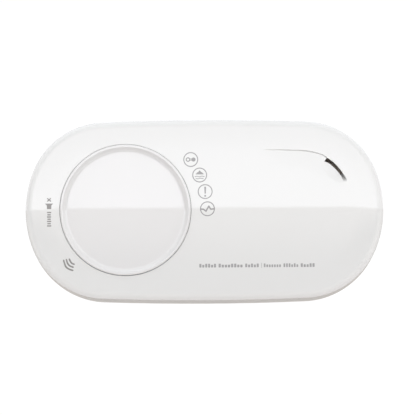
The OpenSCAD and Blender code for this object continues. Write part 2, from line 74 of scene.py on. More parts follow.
# --------------------------------------------------------------- mesh builder
class Build:
    """Collects a mesh in (u, v, w) millimetres with an exact normal for every face corner."""

    def __init__(self):
        self.v, self.f, self.n, self.m = [], [], [], []

    def vert(self, u, v, w):
        self.v.append((float(u), float(v), float(w)))
        return len(self.v) - 1

    def face(self, idx, normals, mat=0):
        a = self.v[idx[0]]
        g = [0.0, 0.0, 0.0]
        for k in range(1, len(idx) - 1):
            p, q = self.v[idx[k]], self.v[idx[k + 1]]
            x1, y1, z1 = p[0] - a[0], p[1] - a[1], p[2] - a[2]
            x2, y2, z2 = q[0] - a[0], q[1] - a[1], q[2] - a[2]
            g[0] += y1 * z2 - z1 * y2
            g[1] += z1 * x2 - x1 * z2
            g[2] += x1 * y2 - y1 * x2
        s = sum(g[0] * n[0] + g[1] * n[1] + g[2] * n[2] for n in normals)
        if s < 0:
            idx, normals = idx[::-1], normals[::-1]
        self.f.append(tuple(idx))
        self.n.extend(normals)
        self.m.append(mat)

    def object(self, name, materials, body):
        mesh = bpy.data.meshes.new(name)
        mesh.from_pydata([(u * MM, -w * MM, v * MM) for u, v, w in self.v], [], self.f)
        mesh.polygons.foreach_set("use_smooth", [True] * len(self.f))
        mesh.polygons.foreach_set("material_index", self.m)
        mesh.update()
        normals = []
        for a, b, c in self.n:
            k = math.sqrt(a * a + b * b + c * c) or 1.0
            normals.append((a / k, -c / k, b / k))
        mesh.normals_split_custom_set(normals)
        for m in materials:
            mesh.materials.append(m)
        o = bpy.data.objects.new(name, mesh)
        bpy.context.scene.collection.objects.link(o)
        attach(o, body)
        return o


class Loop:
    """A closed line that a profile is carried round: radius r of the profile is measured out from it."""

    def __init__(self, samples):
        self.s = samples  # (cx, cy, base radius, nx, ny)

    def at(self, j, r):
        cx, cy, base, nx, ny = self.s[j]
        return cx + (base + r) * nx, cy + (base + r) * ny

    def n(self, j):
        return self.s[j][3], self.s[j][4]

    def __len__(self):
        return len(self.s)


def circle_loop(c, count):
    return Loop([(c[0], c[1], 0.0, math.cos(2 * math.pi * k / count), math.sin(2 * math.pi * k / count)) for k in range(count)])


def arc_geometry():
    a, b = CASE_W / 2, CASE_H / 2
    c1x, c3y = a - END_R, b - SIDE_R
    d1, d3, dd = END_R - SHOULDER_R, SIDE_R - SHOULDER_R, math.hypot(a - END_R, b - SIDE_R)
    aa = (d1 * d1 - d3 * d3 + dd * dd) / (2 * dd)
    hh = math.sqrt(d1 * d1 - aa * aa)
    c2 = (c1x - aa * c1x / dd - hh * c3y / dd, aa * c3y / dd - hh * c1x / dd)
    t1 = math.atan2(c2[1], c2[0] - c1x)
    t3 = math.atan2(c2[1] - c3y, c2[0])
    return (c1x, 0.0), c2, (0.0, c3y), t1, t3


C1, C2, C3, T1, T3 = arc_geometry()


def case_loop(n1, n2, n3):
    q = []
    for k in range(n1 + 1):
        q.append((C1, END_R, T1 * k / n1))
    for k in range(1, n2 + 1):
        q.append((C2, SHOULDER_R, T1 + (T3 - T1) * k / n2))
    for k in range(1, n3 + 1):
        q.append((C3, SIDE_R, T3 + (math.pi / 2 - T3) * k / n3))
    quarter = [(c[0], c[1], r, math.cos(t), math.sin(t)) for c, r, t in q]
    out = list(quarter)
    out += [(-c[0], c[1], c[2], -c[3], c[4]) for c in quarter[-2::-1]]
    out += [(-c[0], -c[1], c[2], -c[3], -c[4]) for c in quarter[1:]]
    out += [(c[0], -c[1], c[2], c[3], -c[4]) for c in quarter[-2:0:-1]]
    return Loop(out)


def line(p, q):
    """A straight run of a profile walked with the solid on its left."""
    d = (q[0] - p[0], q[1] - p[1])
    k = math.hypot(*d)
    n = (d[1] / k, -d[0] / k)
    return [(p, n, q, n)]


def arc(c, r, a0, a1, count, sign=1):
    out = []
    for k in range(count):
        s, t = math.radians(a0 + (a1 - a0) * k / count), math.radians(a0 + (a1 - a0) * (k + 1) / count)
        out.append(((c[0] + r * math.cos(s), c[1] + r * math.sin(s)), (sign * math.cos(s), sign * math.sin(s)),
                    (c[0] + r * math.cos(t), c[1] + r * math.sin(t)), (sign * math.cos(t), sign * math.sin(t))))
    return out


def sweep_profile(b, loop, segments, first=None, last=None, mat=0, span=None):
    """Carries a profile round a loop. first and last are rings of vertices that already exist. Returns the two end rings."""
    count = len(loop)
    whole = span is None
    js = list(range(count)) if whole else list(range(span[0], span[1] + 1))
    rings = []
    points = [segments[0][0]] + [s[2] for s in segments]
    for i, (r, w) in enumerate(points):
        if i == 0 and first is not None:
            rings.append(first)
        elif i == len(points) - 1 and last is not None:
            rings.append(last)
        elif abs(r) < 1e-9 and loop.s[0][2] == 0.0:
            x = b.vert(loop.s[0][0], loop.s[0][1], w)
            rings.append([x] * len(js))
        else:
            rings.append([b.vert(*loop.at(j, r), w) for j in js])
    for i, (p, n0, q, n1) in enumerate(segments):
        lo, hi = rings[i], rings[i + 1]
        for k in range(len(js) if whole else len(js) - 1):
            k2 = (k + 1) % len(js)
            (ax, ay), (bx, by) = loop.n(js[k]), loop.n(js[k2])
            quad = [(lo[k], (n0[0] * ax, n0[0] * ay, n0[1])), (lo[k2], (n0[0] * bx, n0[0] * by, n0[1])),
                    (hi[k2], (n1[0] * bx, n1[0] * by, n1[1])), (hi[k], (n1[0] * ax, n1[0] * ay, n1[1]))]
            if quad[0][0] == quad[1][0]:
                quad = quad[1:]
            elif quad[2][0] == quad[3][0]:
                quad = quad[:3]
            b.face([x[0] for x in quad], [x[1] for x in quad], mat)
    return rings[0], rings[-1]


def closed(points):
    """A closed straight-sided profile, walked with the solid on its left."""
    out = []
    for k, p in enumerate(points):
        q = points[(k + 1) % len(points)]
        if abs(p[0]) < 1e-9 and abs(q[0]) < 1e-9:
            continue
        out += line(p, q)
    return out


def revolve(b, c, segments, count=96, mat=0):
    loop = circle_loop(c, count)
    first, last = segments[0][0], segments[-1][2]
    if abs(first[0] - last[0]) < 1e-9 and abs(first[1] - last[1]) < 1e-9 and abs(first[0]) > 1e-9:
        ring = [b.vert(*loop.at(j, first[0]), first[1]) for j in range(count)]
        sweep_profile(b, loop, segments, ring, ring, mat)
    else:
        sweep_profile(b, loop, segments, None, None, mat)


def block(b, x0, x1, y0, y1, z0, z1, mat=0, turn=0.0, centre=(0.0, 0.0)):
    c, s = math.cos(math.radians(turn)), math.sin(math.radians(turn))
    ids = [b.vert(centre[0] + c * x - s * y, centre[1] + s * x + c * y, z) for z in (z0, z1) for x, y in ((x0, y0), (x1, y0), (x1, y1), (x0, y1))]
    sides = [((0, 3, 2, 1), (0, 0, -1)), ((4, 5, 6, 7), (0, 0, 1)), ((0, 1, 5, 4), (s, -c, 0)), ((1, 2, 6, 5), (c, s, 0)),
             ((2, 3, 7, 6), (-s, c, 0)), ((3, 0, 4, 7), (-c, -s, 0))]
    for f, n in sides:
        b.face([ids[k] for k in f], [n] * 4, mat)


def smooth_line(points, step):
    """Catmull-Rom line through given points, resampled at an even step."""
    p = [np.array(x, float) for x in points]
    dense = []
    for i in range(len(p) - 1):
        p0, p1, p2, p3 = p[max(i - 1, 0)], p[i], p[i + 1], p[min(i + 2, len(p) - 1)]
        for k in range(24):
            t = k / 24
            dense.append(0.5 * (2 * p1 + t * (p2 - p0) + t * t * (2 * p0 - 5 * p1 + 4 * p2 - p3) + t ** 3 * (3 * p1 - p0 - 3 * p2 + p3)))
    dense.append(p[-1])
    dense = np.array(dense)
    run = np.concatenate([[0], np.cumsum(np.linalg.norm(np.diff(dense, axis=0), axis=1))])
    count = max(2, int(round(run[-1] / step)) + 1)
    at = np.linspace(0, run[-1], count)
    return np.stack([np.interp(at, run, dense[:, k]) for k in range(dense.shape[1])], 1)


# ------------------------------------------------------------- procedural looks
def nodes_of(material):
    t = material.node_tree
    t.nodes.clear()
    return t.nodes, t.links


def finish_material(name, low, high, rough=(0.3, 0.4), metal=0.0, scale=60.0, detail=4.0, bump=0.0, bump_scale=900.0,
                    stretch=(1, 1, 1), coat=0.0, ior=1.5, alpha=1.0, transmission=0.0, sheen=0.0, subsurface=0.0):
    """Colour between low and high and roughness from broad and fine noise in object space, with a fine moulded or worked surface."""
    m = bpy.data.materials.new(name)
    m.use_nodes = True
    n, l = nodes_of(m)
    out = n.new("ShaderNodeOutputMaterial")
    p = n.new("ShaderNodeBsdfPrincipled")
    l.new(p.outputs[0], out.inputs[0])
    co = n.new("ShaderNodeTexCoord")
    mp = n.new("ShaderNodeMapping")
    mp.inputs["Scale"].default_value = stretch
    l.new(co.outputs["Object"], mp.inputs["Vector"])
    broad = n.new("ShaderNodeTexNoise")
    broad.inputs["Scale"].default_value = scale
    broad.inputs["Detail"].default_value = detail
    broad.inputs["Roughness"].default_value = 0.55
    l.new(mp.outputs[0], broad.inputs["Vector"])
    mix = n.new("ShaderNodeMix")
    mix.data_type = "RGBA"
    mix.inputs[6].default_value = (*low, 1)
    mix.inputs[7].default_value = (*high, 1)
    ramp = n.new("ShaderNodeMapRange")
    ramp.inputs["From Min"].default_value = 0.3
    ramp.inputs["From Max"].default_value = 0.7
    l.new(broad.outputs[0], ramp.inputs["Value"])
    l.new(ramp.outputs[0], mix.inputs[0])
    l.new(mix.outputs[2], p.inputs["Base Color"])
    rr = n.new("ShaderNodeMapRange")
    rr.inputs["From Min"].default_value = 0.3
    rr.inputs["From Max"].default_value = 0.7
    rr.inputs["To Min"].default_value = rough[0]
    rr.inputs["To Max"].default_value = rough[1]
    l.new(broad.outputs[0], rr.inputs["Value"])
    l.new(rr.outputs[0], p.inputs["Roughness"])
    p.inputs["Metallic"].default_value = metal
    p.inputs["IOR"].default_value = ior
    p.inputs["Coat Weight"].default_value = coat
    p.inputs["Coat Roughness"].default_value = 0.06
    p.inputs["Alpha"].default_value = alpha
    p.inputs["Transmission Weight"].default_value = transmission
    p.inputs["Sheen Weight"].default_value = sheen
    if subsurface:
        p.inputs["Subsurface Weight"].default_value = subsurface
        p.inputs["Subsurface Scale"].default_value = 0.0006
    if bump:
        fine = n.new("ShaderNodeTexNoise")
        fine.inputs["Scale"].default_value = bump_scale
        fine.inputs["Detail"].default_value = 3.0
        l.new(mp.outputs[0], fine.inputs["Vector"])
        b = n.new("ShaderNodeBump")
        b.inputs["Strength"].default_value = 1.0
        b.inputs["Distance"].default_value = bump
        l.new(fine.outputs[0], b.inputs["Height"])
        l.new(b.outputs[0], p.inputs["Normal"])
    return m


def grey(v, warm=0.0):
    return (v * (1 + warm), v, v * (1 - warm))


WHITE = 0.713
MATS = {
    "case_white": finish_material("case_white", (WHITE * 0.994, WHITE * 0.992, WHITE * 0.967), (WHITE * 1.006, WHITE * 1.004, WHITE * 0.979), (0.009, 0.011), scale=25),
    "button_white": finish_material("button_white", (WHITE * 0.984, WHITE * 0.974, WHITE * 0.957), (WHITE * 0.996, WHITE * 0.986, WHITE * 0.969), (0.009, 0.011), scale=25),
    "plate_white": finish_material("plate_white", grey(0.70, 0.012), grey(0.74, 0.012), (0.42, 0.55), scale=80, bump=2.5e-5, bump_scale=2600),
    "steel": finish_material("steel", (0.56, 0.57, 0.60), (0.70, 0.70, 0.72), (0.18, 0.34), metal=1.0, scale=900, bump=4e-6, bump_scale=3000),
    "spring_steel": finish_material("spring_steel", (0.50, 0.50, 0.52), (0.64, 0.64, 0.66), (0.12, 0.22), metal=1.0, scale=1200),
    "clear": finish_material("clear", (0.90, 0.95, 0.97), (0.96, 0.98, 0.99), (0.03, 0.08), scale=300, ior=1.49, transmission=0.85),
    "lamp": finish_material("lamp", (0.86, 0.84, 0.70), (0.94, 0.93, 0.84), (0.2, 0.3), scale=600, subsurface=0.2),
    "board_green": finish_material("board_green", (0.012, 0.12, 0.055), (0.02, 0.20, 0.09), (0.22, 0.34), scale=350, detail=6, bump=1.2e-5, bump_scale=1600, coat=0.25),
    "board_blue": finish_material("board_blue", (0.012, 0.05, 0.17), (0.02, 0.08, 0.26), (0.22, 0.34), scale=350, detail=6, bump=1.2e-5, bump_scale=1600, coat=0.25),
    "black_plastic": finish_material("black_plastic", (0.018, 0.017, 0.017), (0.034, 0.032, 0.031), (0.38, 0.52), scale=260, bump=1.5e-5, bump_scale=3200),
    "cream_plastic": finish_material("cream_plastic", (0.72, 0.60, 0.50), (0.80, 0.68, 0.58), (0.32, 0.44), scale=260, bump=1e-5, bump_scale=2600),
    "nylon": finish_material("nylon", (0.70, 0.68, 0.58), (0.80, 0.78, 0.68), (0.34, 0.46), scale=300, bump=1e-5, bump_scale=2400, subsurface=0.15),
    "sleeve": finish_material("sleeve", (0.03, 0.09, 0.30), (0.05, 0.13, 0.40), (0.16, 0.26), scale=220, bump=6e-6, bump_scale=700, coat=0.5),
    "tinned": finish_material("tinned", (0.66, 0.66, 0.63), (0.80, 0.80, 0.77), (0.22, 0.38), metal=1.0, scale=1500, bump=5e-6, bump_scale=2600),
    "red_rubber": finish_material("red_rubber", (0.36, 0.012, 0.01), (0.50, 0.02, 0.016), (0.34, 0.48), scale=500, bump=8e-6, bump_scale=2600),
    "black_rubber": finish_material("black_rubber", (0.014, 0.014, 0.014), (0.028, 0.028, 0.028), (0.5, 0.66), scale=500, bump=1.6e-5, bump_scale=2600),
    "sensor_grey": finish_material("sensor_grey", (0.52, 0.52, 0.50), (0.60, 0.60, 0.58), (0.38, 0.5), scale=300, bump=1e-5, bump_scale=2600),
    "carbon": finish_material("carbon", (0.010, 0.010, 0.010), (0.045, 0.045, 0.045), (0.75, 0.95), scale=2600, detail=8, bump=6e-5, bump_scale=2200),
    "brass": finish_material("brass", (0.62, 0.44, 0.16), (0.80, 0.62, 0.28), (0.16, 0.3), metal=1.0, scale=400, stretch=(1, 1, 8)),
    "copper": finish_material("copper", (0.62, 0.28, 0.15), (0.78, 0.40, 0.24), (0.18, 0.3), metal=1.0, scale=900),
    "electrode": finish_material("electrode", (0.72, 0.72, 0.69), (0.84, 0.84, 0.81), (0.4, 0.55), metal=1.0, scale=1800),
    "can": finish_material("can", (0.62, 0.63, 0.65), (0.74, 0.75, 0.77), (0.24, 0.4), metal=1.0, scale=500, stretch=(1, 6, 1)),
    "part_brown": finish_material("part_brown", (0.16, 0.10, 0.055), (0.30, 0.21, 0.13), (0.36, 0.5), scale=1400, bump=8e-6, bump_scale=3600),
    "grey_plastic": finish_material("grey_plastic", (0.17, 0.175, 0.185), (0.21, 0.215, 0.225), (0.36, 0.5), scale=300, bump=1.2e-5, bump_scale=2600),
    "orange_plastic": finish_material("orange_plastic", (0.50, 0.07, 0.012), (0.62, 0.11, 0.02), (0.3, 0.42), scale=300, bump=1.2e-5, bump_scale=2600),
    "label": finish_material("label", (0.66, 0.66, 0.64), (0.72, 0.72, 0.70), (0.24, 0.36), scale=200, bump=4e-6, bump_scale=1400),
}
INK = finish_material("print_grey", (0.30, 0.295, 0.29), (0.35, 0.345, 0.34), (0.10, 0.16), scale=1400, bump=1.5e-6, bump_scale=3000)
INK_DARK = finish_material("print_dark_grey", (0.24, 0.23, 0.22), (0.28, 0.27, 0.26), (0.10, 0.16), scale=1400, bump=1.5e-6, bump_scale=3000)
LABEL_INK = finish_material("label_ink", (0.05, 0.05, 0.055), (0.08, 0.08, 0.085), (0.3, 0.4), scale=1400)

# -------------------------------------------------------------- face height map
CREASE = smooth_line([(20.98, 20.95), (24.09, 20.97), (27.34, 20.90), (30.6, 20.78), (33.89, 20.69), (36.2, 20.44), (38.0, 20.13),
                      (39.8, 19.68), (41.7, 18.92), (42.95, 18.15), (43.8, 17.58), (45.2, 16.52), (46.56, 15.16), (47.84, 13.62), (48.75, 12.28),
                      (49.55, 10.95), (49.95, 9.95), (50.15, 9.1)], 0.3)
RUN = np.concatenate([[0], np.cumsum(np.linalg.norm(np.diff(CREASE, axis=0), axis=1))])
SLOT_S, SLOT_E = (float(RUN[np.argmin(np.linalg.norm(CREASE - np.array(p), axis=1))]) for p in ((43.0, 18.1), (49.93, 10.0)))
DEPTH = ([0.0, 2.0, 6.0, 13.0, SLOT_S, SLOT_S + 5, RUN[-1] - 2, RUN[-1]], [0.0, 0.02, 0.05, 0.09, 0.14, 0.12, 0.03, 0.0])
WIDTH = ([0.0, 2.0, 5.5, 13.0, 21.0, RUN[-1]], [0.6, 2.4, 5.4, 6.4, 7.0, 7.0])
SCOOP_C, SCOOP_R, SCOOP_D = np.array([48.3, 17.2]), 7.9, 0.66
LIP = 0.35
GROOVE = ([0.0, 2.0, 6.0, 12.0, SLOT_S, RUN[-1]], [0.0, 0.06, 0.16, 0.25, 0.30, 0.30])
GROOVE_N = ([0.0, 0.04, 0.08, 0.17, 0.22, 0.28], [0.0, 0.6, 1.0, 1.0, 0.55, 0.0])
RIM_R = 0.1


def inset(p):
    """Distance inside the outline, good for the outer band of the face."""
    x, y = np.abs(p[:, 0]), np.abs(p[:, 1])
    t = np.full(len(p), 99.0)
    for c, r, a0, a1 in ((C1, END_R, -0.01, T1), (C2, SHOULDER_R, T1, T3), (C3, SIDE_R, T3, math.pi / 2 + 0.01)):
        a = np.arctan2(y - c[1], x - c[0])
        d = r - np.hypot(x - c[0], y - c[1])
        ok = (a >= a0) & (a <= a1) & (np.hypot(x - c[0], y - c[1]) > 6)
        t = np.where(ok, np.minimum(t, d), t)
    return t


def along(p):
    """Run and signed distance (positive on the hollow side) from the crease."""
    a, b = CREASE[:-1], CREASE[1:]
    d = b - a
    ll = (d ** 2).sum(1)
    s_best, n_best, best = np.zeros(len(p)), np.zeros(len(p)), np.full(len(p), 1e9)
    for k in range(len(a)):
        t = np.clip(((p - a[k]) @ d[k]) / ll[k], 0, 1)
        q = a[k] + t[:, None] * d[k]
        r = np.hypot(p[:, 0] - q[:, 0], p[:, 1] - q[:, 1])
        side = (p[:, 0] - q[:, 0]) * d[k][1] - (p[:, 1] - q[:, 1]) * d[k][0]
        near = r < best - 1e-12
        best = np.where(near, r, best)
        s_best = np.where(near, RUN[k] + t * math.sqrt(ll[k]), s_best)
        n_best = np.where(near, np.where(side >= 0, r, -r), n_best)
    return s_best, n_best


def height(p):
    p = np.atleast_2d(np.asarray(p, float))
    t = inset(p)
    h = CASE_D - CROWN_H * (np.clip(CROWN_W - t, 0, None) / 8.0) ** 2
    s, n = along(p)
    lip = np.clip(n / LIP, 0, 1)
    lip = lip * lip * (3 - 2 * lip)
    x = np.clip(n / np.interp(s, *WIDTH), 0, 1)
    a = np.interp(s, *DEPTH) * (1 - x) ** 1.25
    r = np.hypot(1.12 * (p[:, 0] - SCOOP_C[0]), p[:, 1] - SCOOP_C[1]) / SCOOP_R
    b = SCOOP_D * np.clip(1 - r * r, 0, None) ** 1.25
    g = np.where(s < SLOT_S, np.interp(s, *GROOVE), 0.0) * np.interp(n, *GROOVE_N)
    return h - lip * (a + b) - g


def face_normals(p):
    e = 0.012
    dx = (height(p + [e, 0]) - height(p - [e, 0])) / (2 * e)
    dy = (height(p + [0, e]) - height(p - [0, e])) / (2 * e)
    return [(-a, -b, 1.0) for a, b in zip(dx, dy)]


def slot_outline():
    outer = CREASE[(RUN >= SLOT_S - 0.01) & (RUN <= SLOT_E + 0.01)]
    inner = smooth_line([(41.85, 16.62), (43.05, 16.26), (44.45, 15.32), (45.8, 14.07), (47.05, 12.63), (47.87, 11.40), (48.42, 10.34), (48.75, 9.65)], 0.3)[::-1]
    ring = list(outer) + list(inner)
    for _ in range(2):  # eases the four corners
        out = []
        for k in range(len(ring)):
            p, q = ring[k], ring[(k + 1) % len(ring)]
            if np.linalg.norm(q - p) > 0.45:
                steps = int(np.linalg.norm(q - p) / 0.3) + 1
                out += [p + (q - p) * i / steps for i in range(steps)]
            else:
                out.append(p)
        ring = [0.25 * out[k - 1] + 0.5 * out[k] + 0.25 * out[(k + 1) % len(out)] for k in range(len(out))]
    ring = np.array(ring)
    area = 0.5 * np.sum(ring[:, 0] * np.roll(ring[:, 1], -1) - np.roll(ring[:, 0], -1) * ring[:, 1])
    return ring if area > 0 else ring[::-1]


SLOT = slot_outline()
_t = np.roll(SLOT, -1, 0) - np.roll(SLOT, 1, 0)
SLOT_IN = np.stack([-_t[:, 1], _t[:, 0]], 1) / np.linalg.norm(_t, axis=1)[:, None]  # points into the opening


def inside(p, ring):
    x, y = p[:, 0], p[:, 1]
    hit = np.zeros(len(p), bool)
    for k in range(len(ring)):
        (x0, y0), (x1, y1) = ring[k], ring[(k + 1) % len(ring)]
        cross = (y0 > y) != (y1 > y)
        if y1 != y0:
            hit ^= cross & (x < (x1 - x0) * (y - y0) / (y1 - y0) + x0)
    return hit


def fill(boundary, holes, free):
    """Triangles over a region: boundary and holes are rings of points, free are extra points. Returns points and triangles, rings first."""
    points = [tuple(p) for p in boundary]
    edges = [(k, (k + 1) % len(boundary)) for k in range(len(boundary))]
    for h in holes:
        at = len(points)
        points += [tuple(p) for p in h]
        edges += [(at + k, at + (k + 1) % len(h)) for k in range(len(h))]
    fixed = len(points)
    points += [tuple(p) for p in free]
    got, _, tris, origins, _, _ = delaunay_2d_cdt([Vector(p) for p in points], edges, [], 1, 1e-7, True)
    got = np.array([(p.x, p.y) for p in got])
    back = {}
    for k, o in enumerate(origins):
        for i in o:
            back[i] = k
    centre = np.array([got[list(t)].mean(0) for t in tris])
    keep = np.ones(len(tris), bool)
    for h in holes:
        keep &= ~inside(centre, np.array(h))
    return got, [tris[k] for k in range(len(tris)) if keep[k]], [back[k] for k in range(fixed)]


# ----------------------------------------------------------------- front cover
def build_cover():
    b = Build()
    outer = case_loop(14, 56, 26)
    a_wall = math.degrees(math.atan2(DRAFT, CASE_D - EDGE_R - JOINT - 0.25 + 0.05))
    slope = CROWN_H * 2 * 8 / 64
    a_top = 90 - math.degrees(math.atan(slope))
    rc = -(DRAFT + EDGE_R)
    r_top = rc + EDGE_R * math.cos(math.radians(a_top))
    w_top = float(CASE_D - CROWN_H * ((CROWN_W + r_top) / 8.0) ** 2)
    wc = w_top - EDGE_R * math.sin(math.radians(a_top))
    start = (rc + EDGE_R * math.cos(math.radians(a_wall)), wc + EDGE_R * math.sin(math.radians(a_wall)))
    skin = line((-WALL_T, JOINT), (-0.25, JOINT)) + arc((-0.25, JOINT + 0.25), 0.25, -90, 0, 4)
    d = (start[0], start[1] - JOINT - 0.25)
    for k in range(8):
        skin += line((d[0] * k / 8, JOINT + 0.25 + d[1] * k / 8), (d[0] * (k + 1) / 8, JOINT + 0.25 + d[1] * (k + 1) / 8))
    skin += arc((rc, wc), EDGE_R, a_wall, a_top, 22)
    foot, rim = sweep_profile(b, outer, skin)

    # the face
    hole = circle_loop((BX, 0.0), 224)
    hole_r = HOLE_R + RIM_R
    hole_pts = [hole.at(j, hole_r) for j in range(len(hole))]
    rim_pts = [(b.v[i][0], b.v[i][1]) for i in rim]
    free = []
    for r in (3.5, 4.3, 5.3, 6.5, 7.8, 9.2, 10.6, 12.2):
        free += [outer.at(j, -r) for j in range(0, len(outer), 1 if r < 6 else 2)]
    for r in (0.4, 1.0, 2.0, 3.4):
        free += [hole.at(j, hole_r + r) for j in range(0, len(hole), 2)]
    for x in np.arange(-60, 60.1, 1.9):
        for y in np.arange(-28, 28.1, 1.9):
            free.append((x + (0.4 if int(round(y / 1.9)) % 2 else 0), y))
    for x in np.arange(18, 56, 0.8):  # finer over the scoop and the hollow
        for y in np.arange(6, 24, 0.8):
            free.append((x + 0.13, y + 0.21))
    for x in np.arange(40.5, 52.5, 0.33):
        for y in np.arange(8.2, 18.8, 0.33):
            free.append((x + 0.05, y + 0.03))
    tangent = np.gradient(CREASE, axis=0)
    tangent /= np.linalg.norm(tangent, axis=1)[:, None]
    right = np.stack([tangent[:, 1], -tangent[:, 0]], 1)
    lane = []
    for n in (-0.12, 0.0, 0.04, 0.08, 0.125, 0.17, 0.22, 0.28, 0.38, 0.55, 0.8):
        for k in range(len(CREASE)):
            if RUN[k] < SLOT_S - 0.25:
                lane.append(CREASE[k] + right[k] * n)
    free = np.array(free)
    t = inset(free)
    keep = t > 3.15
    keep &= np.hypot(free[:, 0] - BX, free[:, 1]) > hole_r + 0.3
    s, n = along(free)
    keep &= ~((RUN[0] < s) & (s < SLOT_S) & (n > -0.25) & (n < 1.0))
    near_slot = np.min(np.hypot(free[:, None, 0] - SLOT[None, :, 0], free[:, None, 1] - SLOT[None, :, 1]), 1)
    keep &= (near_slot > 0.2) & ~inside(free, SLOT)
    free = list(free[keep])
    lane = np.array(lane)
    near_slot = np.min(np.hypot(lane[:, None, 0] - SLOT[None, :, 0], lane[:, None, 1] - SLOT[None, :, 1]), 1)
    free += list(lane[(near_slot > 0.08) & ~inside(lane, SLOT)])
    # a lip of points just outside the slot keeps the drop beside it crisp
    for off in (0.1, 0.22, 0.38):
        ring = SLOT - SLOT_IN * off
        s, n = along(ring)
        free += list(ring)
    pts, tris, back = fill(rim_pts, [hole_pts, SLOT], free)
    h = height(pts)
    normals = face_normals(pts)
    ids = [None] * len(pts)
    for k, i in enumerate(rim):
        ids[back[k]] = i
    for k in range(len(pts)):
        if ids[k] is None:
            ids[k] = b.vert(pts[k][0], pts[k][1], h[k])
    for tri in tris:
        b.face([ids[k] for k in tri], [normals[k] for k in tri])

    # edge and wall of the button opening, down to the end of its guide ring
    top = [ids[back[len(rim) + j]] for j in range(len(hole))]
    ring = top
    steps = 5
    for k in range(1, steps + 1):
        a0, a1 = math.radians(90 * (k - 1) / steps), math.radians(90 * k / steps)
        nxt = []
        for j in range(len(hole)):
            x, y = hole.at(j, hole_r - RIM_R * math.sin(a1))
            nxt.append(b.vert(x, y, b.v[top[j]][2] - RIM_R * (1 - math.cos(a1))))
        for j in range(len(hole)):
            j2 = (j + 1) % len(hole)
            na, nb = hole.n(j), hole.n(j2)
            b.face([ring[j], ring[j2], nxt[j2], nxt[j]],
                   [(-math.sin(a0) * na[0], -math.sin(a0) * na[1], math.cos(a0)), (-math.sin(a0) * nb[0], -math.sin(a0) * nb[1], math.cos(a0)),
                    (-math.sin(a1) * nb[0], -math.sin(a1) * nb[1], math.cos(a1)), (-math.sin(a1) * na[0], -math.sin(a1) * na[1], math.cos(a1))])
        ring = nxt
    wall = line((HOLE_R, 33.5), (HOLE_R, 26.7)) + arc((HOLE_R + 0.2, 26.7), 0.2, 180, 270, 3) + arc((24.5, 26.7), 0.2, 270, 360, 3) + line((24.7, 26.7), (24.7, FACE_IN))
    _, ring_foot = sweep_profile(b, hole, wall, first=ring)

    # edge and wall of the sound slot
    ring = [ids[back[len(rim) + len(hole) + k]] for k in range(len(SLOT))]
    top = list(ring)
    steps = 4
    for k in range(1, steps + 1):
        a0, a1 = math.radians(90 * (k - 1) / steps), math.radians(90 * k / steps)
        nxt = [b.vert(*(SLOT[j] + SLOT_IN[j] * 0.1 * math.sin(a1)), b.v[top[j]][2] - 0.1 * (1 - math.cos(a1))) for j in range(len(SLOT))]
        for j in range(len(SLOT)):
            j2 = (j + 1) % len(SLOT)
            na, nb = SLOT_IN[j], SLOT_IN[j2]
            b.face([ring[j], ring[j2], nxt[j2], nxt[j]],
                   [(math.sin(a0) * na[0], math.sin(a0) * na[1], math.cos(a0)), (math.sin(a0) * nb[0], math.sin(a0) * nb[1], math.cos(a0)),
                    (math.sin(a1) * nb[0], math.sin(a1) * nb[1], math.cos(a1)), (math.sin(a1) * na[0], math.sin(a1) * na[1], math.cos(a1))])
        ring = nxt
    slot_foot = [b.vert(*(SLOT[j] + SLOT_IN[j] * 0.1), FACE_IN) for j in range(len(SLOT))]
    for j in range(len(SLOT)):
        j2 = (j + 1) % len(SLOT)
        na, nb = (*SLOT_IN[j], 0.0), (*SLOT_IN[j2], 0.0)
        b.face([ring[j], ring[j2], slot_foot[j2], slot_foot[j]], [na, nb, nb, na])

    # ramp under the low end of the slot
    ex, ey, ux, uy = 49.3, 9.7, -0.436, 0.9
    ramp = [(-0.6, 33.3), (0.3, 33.15), (0.9, 32.75), (1.7, 31.9), (2.9, 30.4), (2.9, 30.0), (-0.6, 30.0)]
    ends = []
    for w in (-1.15, 1.15):
        ends.append([b.vert(ex + ux * t + uy * w, ey + uy * t - ux * w, z) for t, z in ramp])
    for k in range(len(ramp)):
        k2 = (k + 1) % len(ramp)
        (t0, a0), (t1, a1) = ramp[k], ramp[k2]
        across = (-(a1 - a0), t1 - t0)
        nrm = (ux * across[0], uy * across[0], across[1])
        b.face([ends[0][k], ends[0][k2], ends[1][k2], ends[1][k]], [nrm] * 4)
    b.face(ends[0], [(-uy, ux, 0)] * len(ramp))
    b.face(ends[1], [(uy, -ux, 0)] * len(ramp))

